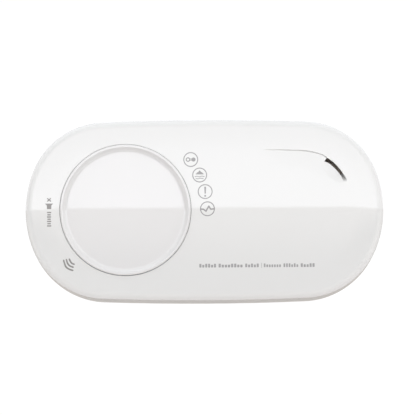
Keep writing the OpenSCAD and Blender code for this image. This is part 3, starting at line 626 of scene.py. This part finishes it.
    # inside of the face, with the thinned windows over the lamps
    in_top = [b.vert(*outer.at(j, -WALL_T), FACE_IN) for j in range(len(outer))]
    sweep_profile(b, outer, line((-WALL_T, FACE_IN), (-WALL_T, JOINT)), first=in_top, last=foot)
    pockets = [circle_loop(c, 40) for c in LAMPS]
    pocket_pts = [[p.at(j, 2.1) for j in range(40)] for p in pockets]
    holes = [[(b.v[i][0], b.v[i][1]) for i in ring_foot], [(b.v[i][0], b.v[i][1]) for i in slot_foot]] + pocket_pts
    grid = np.array([(x, y) for x in np.arange(-60, 60.1, 4.0) for y in np.arange(-28, 28.1, 4.0)])
    ok = (inset(grid) > 3) & (np.hypot(grid[:, 0] - BX, grid[:, 1]) > 25.5) & ~inside(grid, SLOT)
    for c in LAMPS:
        ok &= np.hypot(grid[:, 0] - c[0], grid[:, 1] - c[1]) > 2.6
    pts, tris, back = fill([(b.v[i][0], b.v[i][1]) for i in in_top], holes, list(grid[ok]))
    ids = [None] * len(pts)
    for k, i in enumerate(in_top + ring_foot + slot_foot):
        ids[back[k]] = i
    for k in range(len(pts)):
        if ids[k] is None:
            ids[k] = b.vert(pts[k][0], pts[k][1], FACE_IN)
    for tri in tris:
        b.face([ids[k] for k in tri], [(0, 0, -1)] * 3)
    at = len(in_top) + len(ring_foot) + len(slot_foot)
    for c, p in zip(LAMPS, pockets):
        mouth = [ids[back[at + k]] for k in range(40)]
        at += 40
        # the wall faces the pocket's middle, and the pocket ends in a thin diffusing window
        sweep_profile(b, p, [((2.1, FACE_IN), (-1, 0), (2.1, CASE_D - 0.7), (-1, 0)), ((2.1, CASE_D - 0.7), (0, -1), (0, CASE_D - 0.7), (0, -1))], first=mouth)

    # screw bosses, sounder duct, sensor fence and ribs
    for c in CASE_SCREWS:
        revolve(b, c, line((0, 26), (1.3, 26)) + line((1.3, 26), (1.3, 12.4)) + line((1.3, 12.4), (1.5, 12.2)) + line((1.5, 12.2), (3.6, 12.2))
                + line((3.6, 12.2), (3.8, 12.4)) + line((3.8, 12.4), (3.8, FACE_IN + 0.3)) + line((3.8, FACE_IN + 0.3), (0, FACE_IN + 0.3)), 48)
    revolve(b, SOUNDER, closed([(12.6, 28.6), (14.0, 28.6), (14.0, FACE_IN + 0.3), (12.6, FACE_IN + 0.3)]), 96)
    revolve(b, SENSOR, closed([(10.4, 29.6), (11.6, 29.6), (11.6, FACE_IN + 0.3), (10.4, FACE_IN + 0.3)]), 96)
    block(b, 2, 26, 24.6, 25.6, 29.5, FACE_IN + 0.3)
    block(b, -20, 28, -28, -27, 29.5, FACE_IN + 0.3)
    o = b.object("front_cover_shell", [MATS["case_white"]], "alarm")
    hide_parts("front_cover")
    return o


# ----------------------------------------------------------------- test button
LEDGE_W, LEDGE_D = 0.2, 0.13


def build_button():
    b = Build()
    z1 = CASE_D + CREST
    z0 = z1 - DISH
    edge, bead, flat, fillet = 0.17, 0.27, 0.31, 1.45
    k = math.sin(math.radians(45))
    bx = B_R - bead
    drop = z1 - z0 - (bead + fillet) * (1 - k)
    fx = bx - flat - bead * k - drop - fillet * k
    p = line((0.0001, z0 - 1.6), (20.9, z0 - 1.6)) + line((20.9, z0 - 1.6), (21.2, 27.8)) + line((21.2, 27.8), (21.4, 27.6))
    p += line((21.4, 27.6), (B_R - 0.2, 27.6)) + line((B_R - 0.2, 27.6), (B_R, 27.8)) + line((B_R, 27.8), (B_R, z1 - 2.0))
    p += line((B_R, z1 - 2.0), (B_R, z1 - edge))
    p += arc((B_R - edge, z1 - edge), edge, 0, 90, 8)
    p += line((B_R - edge, z1), (bx - flat, z1))
    p += arc((bx - flat, z1 - bead), bead, 90, 135, 6)
    p += line((bx - flat - bead * k, z1 - bead + bead * k), (fx + fillet * k, z0 + fillet * (1 - k)))
    p += arc((fx, z0 + fillet), fillet, -45, -90, 14, -1)
    last = (fx, z0)
    for r in (fx * 0.75, fx * 0.5, fx * 0.25, 0.0):
        p += line(last, (r, z0))
        last = (r, z0)
    p[0] = ((0.0, z0 - 1.6), p[0][1], p[0][2], p[0][3])
    revolve(b, (BX, 0.0), p, 256)
    # a fine dust ledge fills most of the gap just below the face
    revolve(b, (BX, 0.04), closed([(B_R - 0.15, z1 - 1.9), (B_R + LEDGE_W, z1 - 1.9), (B_R + LEDGE_W, CASE_D - LEDGE_D), (B_R - 0.15, CASE_D - LEDGE_D)]), 256)
    under = z0 - 1.3
    for t in (90, 210, 330):
        leg = circle_loop((BX, 0.0), 240)
        j0 = int(round((t - 9) / 1.5))
        loop = Loop([leg.s[(j0 + q) % 240] for q in range(13)])
        prof = closed([(21.5, 24.9), (24.0, 24.9), (24.1, 25.1), (24.1, 26.3), (22.6, 26.3), (22.6, 28.0), (21.5, 28.0)])
        ring = [b.vert(*loop.at(j, 21.5), 24.9) for j in range(13)]
        first = len(b.v)
        sweep_profile(b, loop, prof, ring, ring, span=(0, 12))
        for j, sgn in ((0, -1), (12, 1)):  # the two ends of the leg
            nx, ny = loop.n(j)
            tip = [b.vert(*loop.at(j, r), w) for r, w in ((21.5, 24.9), (24.0, 24.9), (24.1, 25.1), (24.1, 26.3), (22.6, 26.3), (22.6, 28.0), (21.5, 28.0))]
            nn = (-ny * sgn, nx * sgn, 0.0)
            b.face([tip[0], tip[1], tip[2], tip[3], tip[4]], [nn] * 5)
            b.face([tip[0], tip[4], tip[5], tip[6]], [nn] * 4)
    revolve(b, (BX, 0.0), line((0, 23.25), (2.1, 23.25)) + line((2.1, 23.25), (2.4, 23.55)) + line((2.4, 23.55), (2.4, under)) + line((2.4, under), (0, under)), 48)
    revolve(b, (BX, 0.0), closed([(4.1, 29.4), (4.9, 29.4), (4.9, under), (4.1, under)]), 64)
    for t in range(0, 360, 60):
        block(b, 8.4, 21.2, -0.6, 0.6, 29.6, under, turn=t + 30, centre=(BX, 0.0))
    o = b.object("test_button_cap", [MATS["button_white"]], "button")
    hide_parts("test_button")
    return o


# ---------------------------------------------------------------- wires, spring
def tube(name, path, radius, material, body, node, sides=14):
    b = Build()
    p = np.asarray(path, float)
    d = np.gradient(p, axis=0)
    d /= np.linalg.norm(d, axis=1)[:, None]
    ref = np.array([0.0, 0.0, 1.0]) if abs(d[0][2]) < 0.9 else np.array([1.0, 0.0, 0.0])
    u = np.cross(d[0], ref)
    u /= np.linalg.norm(u)
    rings, normals = [], []
    for k in range(len(p)):
        u = u - (u @ d[k]) * d[k]
        u /= np.linalg.norm(u)
        w = np.cross(d[k], u)
        ns = [math.cos(2 * math.pi * q / sides) * u + math.sin(2 * math.pi * q / sides) * w for q in range(sides)]
        rings.append([b.vert(*(p[k] + radius * x)) for x in ns])
        normals.append([tuple(x) for x in ns])
    for k in range(len(p) - 1):
        for q in range(sides):
            q2 = (q + 1) % sides
            b.face([rings[k][q], rings[k][q2], rings[k + 1][q2], rings[k + 1][q]],
                   [normals[k][q], normals[k][q2], normals[k + 1][q2], normals[k + 1][q]])
    for k, s in ((0, -1), (-1, 1)):
        b.face(list(rings[k]), [tuple(s * d[k])] * sides)
    o = b.object(name, [material], body)
    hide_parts(node)
    return o


def build_wires():
    tube("battery_lead_red_wire", smooth_line([(0.16, -14.8, 19.4), (0.9, -14.8, 19.5), (3.4, -13.2, 21.8), (5.8, -8.8, 23.5), (7.0, -5.2, 23),
                                               (7.0, -3.5, 21.6), (7.0, -3.5, 20.4)], 0.35), 0.58, MATS["red_rubber"], "alarm", "battery_lead_red")
    tube("battery_lead_black_wire", smooth_line([(-45.3, -14.8, 19.4), (-45.9, -14.8, 19.45), (-46.2, -13.6, 20.3), (-45.2, -11, 21.8), (-41, -8.3, 21.2),
                                                 (-34, -7.2, 19.4), (-20, -7.2, 18.8), (-8, -7.2, 19.2), (0.4, -7, 21.2), (3.6, -6, 23), (5.0, -4.6, 22.8),
                                                 (5.0, -3.5, 21.4), (5.0, -3.5, 20.4)], 0.4), 0.58, MATS["black_rubber"], "alarm", "battery_lead_black")
    turns, per = 5.5, 40
    base, top = 13.95, CASE_D + CREST - DISH - 1.95
    path = [(BX + 5.6 * math.cos(2 * math.pi * i / per), 5.6 * math.sin(2 * math.pi * i / per), base + (top - base) * i / (turns * per))
            for i in range(int(turns * per) + 1)]
    spring = tube("button_return_spring", path, 0.34, MATS["spring_steel"], "alarm", "button_spring", 10)
    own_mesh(spring)
    coil = [(3.4, 24.8, 19.0), (2.7, 24.8, 19.0), (2.0, 24.8, 19.0)]
    coil += [(0.8 - i * 0.19 / 3, 24.8 + 2.2 * math.sin(math.radians(10 * i)), 21.3 - 2.2 * math.cos(math.radians(10 * i))) for i in range(5 * 36 + 1)]
    tube("radio_antenna_coil", coil, 0.4, MATS["copper"], "alarm", "antenna", 10)


# --------------------------------------------------------------- printed marks
class Print:
    """Thin ink printed on the face: closed outlines in (u, v), lifted a hundredth of a millimetre."""

    def __init__(self):
        self.b = Build()

    def union(self, outlines, holes=()):
        rings = [np.asarray(r, float) for r in outlines] + [np.asarray(h, float) for h in holes]
        points, edges = [], []
        for r in rings:
            at = len(points)
            points += [Vector(p) for p in r]
            edges += [(at + k, at + (k + 1) % len(r)) for k in range(len(r))]
        pts, _, tris, _, _, _ = delaunay_2d_cdt(points, edges, [], 0, 1e-7, True)
        pts = np.array([(p.x, p.y) for p in pts])
        centre = np.array([pts[list(t)].mean(0) for t in tris])
        keep = np.zeros(len(tris), bool)
        for k, r in enumerate(rings):
            keep = keep | inside(centre, r) if k < len(outlines) else keep & ~inside(centre, r)
        kept = []
        for t in (tris[k] for k in np.flatnonzero(keep)):
            p, q, r = pts[list(t)]
            turn = (q[0] - p[0]) * (r[1] - p[1]) - (q[1] - p[1]) * (r[0] - p[0])
            if abs(turn) > 1e-7:
                kept.append(tuple(t) if turn > 0 else tuple(t)[::-1])
        top_w = height(pts) + 0.012
        nn = face_normals(pts)
        used = sorted({i for t in kept for i in t})
        top = {i: self.b.vert(pts[i][0], pts[i][1], top_w[i]) for i in used}
        low = {i: self.b.vert(pts[i][0], pts[i][1], top_w[i] - 0.05) for i in used}
        sides = {(t[k], t[(k + 1) % 3]) for t in kept for k in range(3)}
        for t in kept:
            self.b.face([top[k] for k in t], [nn[k] for k in t])
            self.b.face([low[k] for k in t], [(0, 0, -1)] * 3)
        for i, j in sorted(sides):
            if (j, i) not in sides:
                e = pts[j] - pts[i]
                self.b.face([top[i], top[j], low[j], low[i]], [(e[1], -e[0], 0.0)] * 4)

    def shape(self, outline, holes=()):
        self.union([outline], holes)

    def ring(self, c, outer, inner, count=72):
        a = [2 * math.pi * k / count for k in range(count)]
        self.shape([(c[0] + outer * math.cos(t), c[1] + outer * math.sin(t)) for t in a],
                   [[(c[0] + inner * math.cos(t), c[1] + inner * math.sin(t)) for t in a]])

    def disc(self, c, r, count=32):
        self.shape([(c[0] + r * math.cos(2 * math.pi * k / count), c[1] + r * math.sin(2 * math.pi * k / count)) for k in range(count)])

    def stroke(self, points, width, step=None):
        """A line of even width with round ends: smoothed when step is given, else in straight runs."""
        h = width / 2
        if step is None:
            caps = []
            for p, q in zip(points[:-1], points[1:]):
                p, q = np.asarray(p, float), np.asarray(q, float)
                a = math.atan2(q[1] - p[1], q[0] - p[0])
                ends = [(q, a + math.radians(t)) for t in range(-90, 91, 30)] + [(p, a + math.radians(t)) for t in range(90, 271, 30)]
                caps.append([(c[0] + h * math.cos(t), c[1] + h * math.sin(t)) for c, t in ends])
            self.union(caps)
            return
        p = smooth_line(points, step)
        d = np.gradient(p, axis=0)
        d /= np.linalg.norm(d, axis=1)[:, None]
        n = np.stack([-d[:, 1], d[:, 0]], 1)
        left, right = p + n * h, p - n * h
        out = list(left)
        for e, c, side in ((d[-1], p[-1], right[::-1]), (-d[0], p[0], [])):
            for a in (60, 30, 0, -30, -60):
                t = math.radians(a)
                out.append(c + h * (math.cos(t) * e + math.sin(t) * np.array([-e[1], e[0]])))
            out += list(side)
        self.union([out])

    def pill(self, x0, x1, y0, y1, r, turn=None):
        r = min(r, (x1 - x0) / 2 - 1e-3, (y1 - y0) / 2 - 1e-3)
        pts = []
        for cx, cy, a0 in ((x1 - r, y1 - r, 0), (x0 + r, y1 - r, 90), (x0 + r, y0 + r, 180), (x1 - r, y0 + r, 270)):
            for k in range(4):
                t = math.radians(a0 + 30 * k)
                pts.append((cx + r * math.cos(t), cy + r * math.sin(t)))
        self.shape(pts)

    def object(self, name, material, slot_name):
        o = self.b.object(name, [material], "alarm")
        return o


RINGS = [(-4.71, 17.58), (-1.61, 12.13), (0.28, 6.31), (1.05, 0.29)]


def build_prints():
    # four indicator rings, each with a plain generic symbol
    p = Print()
    for c in RINGS:
        p.ring(c, 2.60, 2.25)
    (ax, ay), (bx, by), (cx, cy), (dx, dy) = RINGS
    # a two-atom molecule: an open and a filled atom joined by two bonds
    p.ring((ax - 0.98, ay), 0.80, 0.42, 36)
    p.disc((ax + 0.98, ay), 0.72, 36)
    p.stroke([(ax - 0.28, ay + 0.24), (ax + 0.34, ay + 0.24)], 0.22)
    p.stroke([(ax - 0.28, ay - 0.24), (ax + 0.34, ay - 0.24)], 0.22)
    # a peak above drifting gas
    p.shape([(bx - 1.42, by + 0.42), (bx - 1.1, by + 0.62), (bx - 0.9, by + 0.9), (bx - 0.5, by + 1.1), (bx - 0.12, by + 1.58), (bx + 0.12, by + 1.58),
             (bx + 0.5, by + 1.1), (bx + 0.9, by + 0.9), (bx + 1.1, by + 0.62), (bx + 1.42, by + 0.42), (bx + 1.3, by + 0.22), (bx - 1.3, by + 0.22)])
    p.stroke([(bx - 1.6, by - 0.58), (bx - 0.9, by - 0.42), (bx - 0.1, by - 0.62), (bx + 0.7, by - 0.38), (bx + 1.6, by - 0.58)], 0.26, 0.15)
    p.stroke([(bx - 1.3, by - 1.20), (bx - 0.6, by - 1.34), (bx + 0.2, by - 1.12), (bx + 1.25, by - 1.28)], 0.26, 0.15)
    # a bar over a dot
    p.shape([(cx - 0.33, cy + 1.55), (cx - 0.24, cy + 1.72), (cx + 0.24, cy + 1.72), (cx + 0.33, cy + 1.55), (cx + 0.20, cy - 0.72), (cx - 0.20, cy - 0.72)])
    p.disc((cx, cy - 1.48), 0.34, 24)
    # a pulse that runs across the ring
    p.stroke([(dx - 2.2, dy - 0.10), (dx - 1.35, dy - 0.16), (dx - 0.55, dy - 0.86), (dx + 0.48, dy + 0.92), (dx + 1.12, dy - 0.14), (dx + 2.2, dy - 0.06)], 0.5)
    p.object("indicator_symbols", INK, "grey_plastic")

    # mute sign and a run of plain bars beside it, and three arcs
    q = Print()
    x = -54.37
    q.union([[(x + r * math.cos(t) * k1 - r2 * math.sin(t), 3.72 + r * math.sin(t) * k1 + r2 * math.cos(t))
              for r, k1, r2 in ((0.86, 1, 0.2), (0.86, -1, 0.2), (0.86, -1, -0.2), (0.86, 1, -0.2))] for t in (math.radians(42), math.radians(138))])
    q.shape([(x - 0.78, 0.5), (x + 0.78, 0.5), (x + 0.78, 1.72), (x + 1.42, 2.42), (x - 1.42, 2.42), (x - 0.78, 1.72)])
    bars = [(-0.72, 1.5), (-1.52, 1.2), (-2.28, 1.42), (-3.06, 1.16), (-3.84, 1.44), (-4.62, 1.22), (-5.4, 1.5)]
    for v, width in bars:
        q.pill(x - 0.02 - width / 2, x - 0.02 + width / 2, v - 0.24, v + 0.24, 0.12)
    for pts in ([(-49.34, -17.53), (-48.6, -19.67), (-47.5, -20.55), (-46.2, -21.0)],
                [(-48.36, -17.26), (-47.94, -18.59), (-47.13, -19.47), (-46.05, -19.9)],
                [(-47.34, -17.12), (-46.85, -18.12), (-46.33, -18.62), (-45.7, -18.88)]):
        q.stroke(pts, 0.56, 0.2)
    q.object("side_symbols", INK_DARK, "grey_plastic")

    # the caption line: plain blocks in word-long groups
    t = Print()
    words = [(198.7, 216.2, 6), (217.9, 242.7, 8), (244.5, 258.9, 5), (263.1, 281.0, 7), (282.8, 298.3, 6), (300.0, 314.7, 5)]
    px = 0.34992
    seed = 7
    for x0, x1, count in words:
        a, z = (x0 - 204.2) * px, (x1 - 204.2) * px
        pitch = (z - a) / count
        for k in range(count):
            seed = (seed * 37 + 11) % 101
            tall = k == 0 or seed % 5 == 0
            u0 = a + pitch * k + 0.02
            u1 = a + pitch * (k + 1) - 0.26
            v0 = -19.62 - (u0 - a) * 0.0 - 0.665 + 0.0
            v1 = v0 + (1.30 if tall else 0.95)
            t.pill(u0, u1, v0, v1, 0.16)
    a = (261.0 - 204.2) * px
    t.pill(a - 0.07, a + 0.07, -20.5, -18.75, 0.06)
    t.object("caption_blocks", INK, "grey_plastic")


# ---------------------------------------------------- finishes of the CAD nodes
def dress_nodes():
    rounding = {"rear_housing": 0.22, "wall_plate": 0.25, "circuit_board": 0.08, "battery_plug": 0.12, "battery_socket": 0.12, "radio_shield": 0.2,
                "radio_board": 0.06, "sounder_housing": 0.2, "co_sensor_cap": 0.12, "activation_slider": 0.12, "rating_label": 0.02,
                "test_switch_body": 0.12, "learn_switch_body": 0.12, "power_switch_body": 0.12, "capacitors": 0.12, "microcontroller": 0.06,
                "driver_chips": 0.06, "passive_parts": 0.06, "light_guide": 0.08, "case_screws": 0.08, "board_screws": 0.08}
    for name, o in NODES.items():
        material = MATS[SLOT_OF[name]]
        o.data.materials.clear()
        o.data.materials.append(material)
        if o.hide_render:
            continue
        for p in o.data.polygons:
            p.use_smooth = True
        weld = o.modifiers.new("weld", "WELD")
        weld.merge_threshold = 2e-6
        bevel = o.modifiers.new("soft_edges", "BEVEL")
        bevel.width = rounding.get(name, 0.05) * MM
        bevel.segments = 2
        bevel.limit_method = "ANGLE"
        bevel.angle_limit = math.radians(32)
        bevel.use_clamp_overlap = True
        wn = o.modifiers.new("even_normals", "WEIGHTED_NORMAL")
        wn.keep_sharp = False
        wn.weight = 80


# ------------------------------------------------------------------ the studio
def build_world():
    world = bpy.data.worlds.new("studio")
    bpy.context.scene.world = world
    world.use_nodes = True
    t = world.node_tree
    t.nodes.clear()
    n, l = t.nodes, t.links

    def math_node(op, a, b=None, c=None, clamp=False):
        x = n.new("ShaderNodeMath")
        x.operation = op
        x.use_clamp = clamp
        for i, v in enumerate((a, b, c)):
            if v is None:
                continue
            if isinstance(v, (int, float)):
                x.inputs[i].default_value = v
            else:
                l.new(v, x.inputs[i])
        return x.outputs[0]

    def spread(value, x0, x1, y0, y1, kind="LINEAR"):
        x = n.new("ShaderNodeMapRange")
        x.interpolation_type = kind
        x.clamp = True
        l.new(value, x.inputs["Value"])
        for key, v in (("From Min", x0), ("From Max", x1), ("To Min", y0), ("To Max", y1)):
            x.inputs[key].default_value = v
        return x.outputs[0]

    def mix(f, a, b):
        x = n.new("ShaderNodeMix")
        x.data_type = "FLOAT"
        x.clamp_factor = True
        l.new(f, x.inputs[0])
        for i, v in ((2, a), (3, b)):
            if isinstance(v, (int, float)):
                x.inputs[i].default_value = v
            else:
                l.new(v, x.inputs[i])
        return x.outputs[0]

    def vector_math(op, a, b, c=None):
        x = n.new("ShaderNodeVectorMath")
        x.operation = op
        for i, v in enumerate((a, b, c)):
            if v is None:
                continue
            if isinstance(v, (tuple, list)):
                x.inputs[i].default_value = v
            else:
                l.new(v, x.inputs[i])
        return x.outputs["Value"] if op == "DOT_PRODUCT" else x.outputs["Vector"]

    co = n.new("ShaderNodeTexCoord")
    sep = n.new("ShaderNodeSeparateXYZ")
    l.new(co.outputs["Generated"], sep.inputs[0])
    elev = math_node("MULTIPLY", math_node("ARCSINE", sep.outputs[2]), 180 / math.pi)
    turn = math_node("MULTIPLY", math_node("ARCTAN2", sep.outputs[0], math_node("MULTIPLY", sep.outputs[1], -1.0)), 180 / math.pi)
    away = math_node("ABSOLUTE", turn)
    step = spread(elev, STEP - 0.01, STEP + 0.01, 0, 1, "SMOOTHSTEP")

    def levels(knots, column):
        """Brightness against elevation for two sets of three directions at once."""
        sets = [[tuple(column[d][k] for d in group) for k in range(len(knots))] for group in GROUPS]
        out = []
        ramps = [spread(elev, e0, e1, 0, 1) for e0, e1 in zip(knots[:-1], knots[1:])]
        for rows in sets:
            v = rows[0]
            for k, r in enumerate(ramps):
                v = vector_math("MULTIPLY_ADD", r, tuple(q - p for p, q in zip(rows[k], rows[k + 1])), v)
            out.append(v)
        return out

    low = levels(LOW_AT, {d: STUDIO[d][0] for d in STUDIO})
    high = levels(HIGH_AT, {d: STUDIO[d][1] for d in STUDIO})
    # how much each direction counts at this azimuth
    e1, e2, e3 = (spread(away, x0, x1, 0, 1, "SMOOTHSTEP") for x0, x1 in ((18, 32), (52, 68), (88, 104)))
    right = spread(turn, -1, 1, 0, 1)
    left = math_node("SUBTRACT", 1.0, right)
    near, mid = math_node("SUBTRACT", e1, e2), math_node("SUBTRACT", e2, e3)
    shares = []
    for parts in ((math_node("SUBTRACT", 1.0, e1), math_node("MULTIPLY", near, left), math_node("MULTIPLY", near, right)),
                  (math_node("MULTIPLY", mid, left), math_node("MULTIPLY", mid, right), e3)):
        x = n.new("ShaderNodeCombineXYZ")
        for i, v in enumerate(parts):
            l.new(v, x.inputs[i])
        shares.append(x.outputs[0])
    under = math_node("ADD", vector_math("DOT_PRODUCT", low[0], shares[0]), vector_math("DOT_PRODUCT", low[1], shares[1]))
    over = math_node("ADD", vector_math("DOT_PRODUCT", high[0], shares[0]), vector_math("DOT_PRODUCT", high[1], shares[1]))
    value = mix(step, under, over)
    colour = n.new("ShaderNodeMix")
    colour.data_type = "RGBA"
    l.new(step, colour.inputs[0])
    colour.inputs[6].default_value = LOW_TINT
    colour.inputs[7].default_value = HIGH_TINT
    light = n.new("ShaderNodeBackground")
    l.new(colour.outputs[2], light.inputs["Color"])
    l.new(value, light.inputs["Strength"])
    white = n.new("ShaderNodeBackground")
    white.inputs["Color"].default_value = (1, 1, 1, 1)
    white.inputs["Strength"].default_value = 1.04
    path = n.new("ShaderNodeLightPath")
    shown = n.new("ShaderNodeMixShader")
    l.new(path.outputs["Is Camera Ray"], shown.inputs[0])
    l.new(light.outputs[0], shown.inputs[1])
    l.new(white.outputs[0], shown.inputs[2])
    out = n.new("ShaderNodeOutputWorld")
    l.new(shown.outputs[0], out.inputs[0])


# The studio: a soft window whose lower edge stands at STEP degrees above level, and dimmer walls round it.
# Each direction has its brightness below the edge, at LOW_AT degrees, and above it, at HIGH_AT degrees.
STEP = 2.997
LOW_AT = (-60, -21, -7.5, -1.2, 1.9, 2.3, 2.6, 2.95)
HIGH_AT = (3.5, 4.6, 5.9, 7.8, 12.5, 23, 40, 70)
STUDIO = {
    "front": ((0.5, 0.2, 0.5, 0.05, 0.0, 0.3, 0.95, 1.4), (4.4, 3.85, 3.45, 3.15, 3.1, 1.35, 1.45, 1.3)),
    "left": ((0.35, 0.0, 0.0, 0.05, 0.08, 0.08, 0.08, 0.08), (1.8, 1.75, 1.7, 1.6, 1.6, 0.95, 0.6, 0.6)),
    "right": ((1.4, 1.75, 0.7, 0.45, 0.4, 0.4, 0.4, 0.4), (2.2, 2.2, 2.2, 2.3, 2.4, 1.4, 0.8, 0.8)),
    "far_left": ((1.7, 2.05, 1.2, 0.9, 0.85, 0.85, 0.85, 0.85), (0.45, 0.45, 0.43, 0.43, 0.55, 1.0, 1.9, 2.9)),
    "far_right": ((1.2, 1.3, 0.95, 0.7, 0.66, 0.66, 0.66, 0.66), (1.5, 1.5, 1.45, 1.4, 1.4, 1.35, 0.9, 1.5)),
    "behind": ((0.6, 0.46, 0.4, 0.53, 0.55, 0.55, 0.55, 0.55), (1.25, 1.25, 1.25, 1.25, 1.23, 1.16, 1.06, 1.0)),
}
GROUPS = (("front", "left", "right"), ("far_left", "far_right", "behind"))
LOW_TINT = (1.045, 0.985, 0.935, 1)
HIGH_TINT = (0.987, 1.0, 1.033, 1)


def build_floor():
    mesh = bpy.data.meshes.new("studio_floor")
    s, z = 4.0, -1.9
    mesh.from_pydata([(-s, -s, z), (s, -s, z), (s, s, z), (-s, s, z)], [], [(0, 1, 2, 3)])
    o = bpy.data.objects.new("studio_floor", mesh)
    bpy.context.scene.collection.objects.link(o)
    mesh.materials.append(finish_material("studio_floor", (0.80, 0.768, 0.752), (0.83, 0.798, 0.782), (0.75, 0.85), scale=1.5))


def build_camera():
    data = bpy.data.cameras.new("camera")
    data.sensor_width = 36.0
    distance = 1.400
    data.lens = 36.0 * distance / 0.14522
    data.clip_start, data.clip_end = 0.05, 50.0
    cam = bpy.data.objects.new("camera", data)
    bpy.context.scene.collection.objects.link(cam)
    e = math.radians(-3.0)
    back = Vector((0.0, -math.cos(e), math.sin(e)))
    aim = Vector((AIM[0] * MM, -CASE_D * MM, AIM[1] * MM))
    cam.location = aim + back * distance
    q = (-back).to_track_quat("-Z", "Y")
    roll = Vector((0, 0, -1))
    from mathutils import Quaternion
    cam.rotation_mode = "QUATERNION"
    cam.rotation_quaternion = q @ Quaternion(roll, math.radians(ROLL))
    bpy.context.scene.camera = cam


AIM = (1.067, 0.735)
ROLL = 0.324

build_cover()
build_button()
build_wires()
build_prints()
dress_nodes()
build_world()
build_floor()
build_camera()
bpy.context.scene.view_settings.view_transform = "Standard"
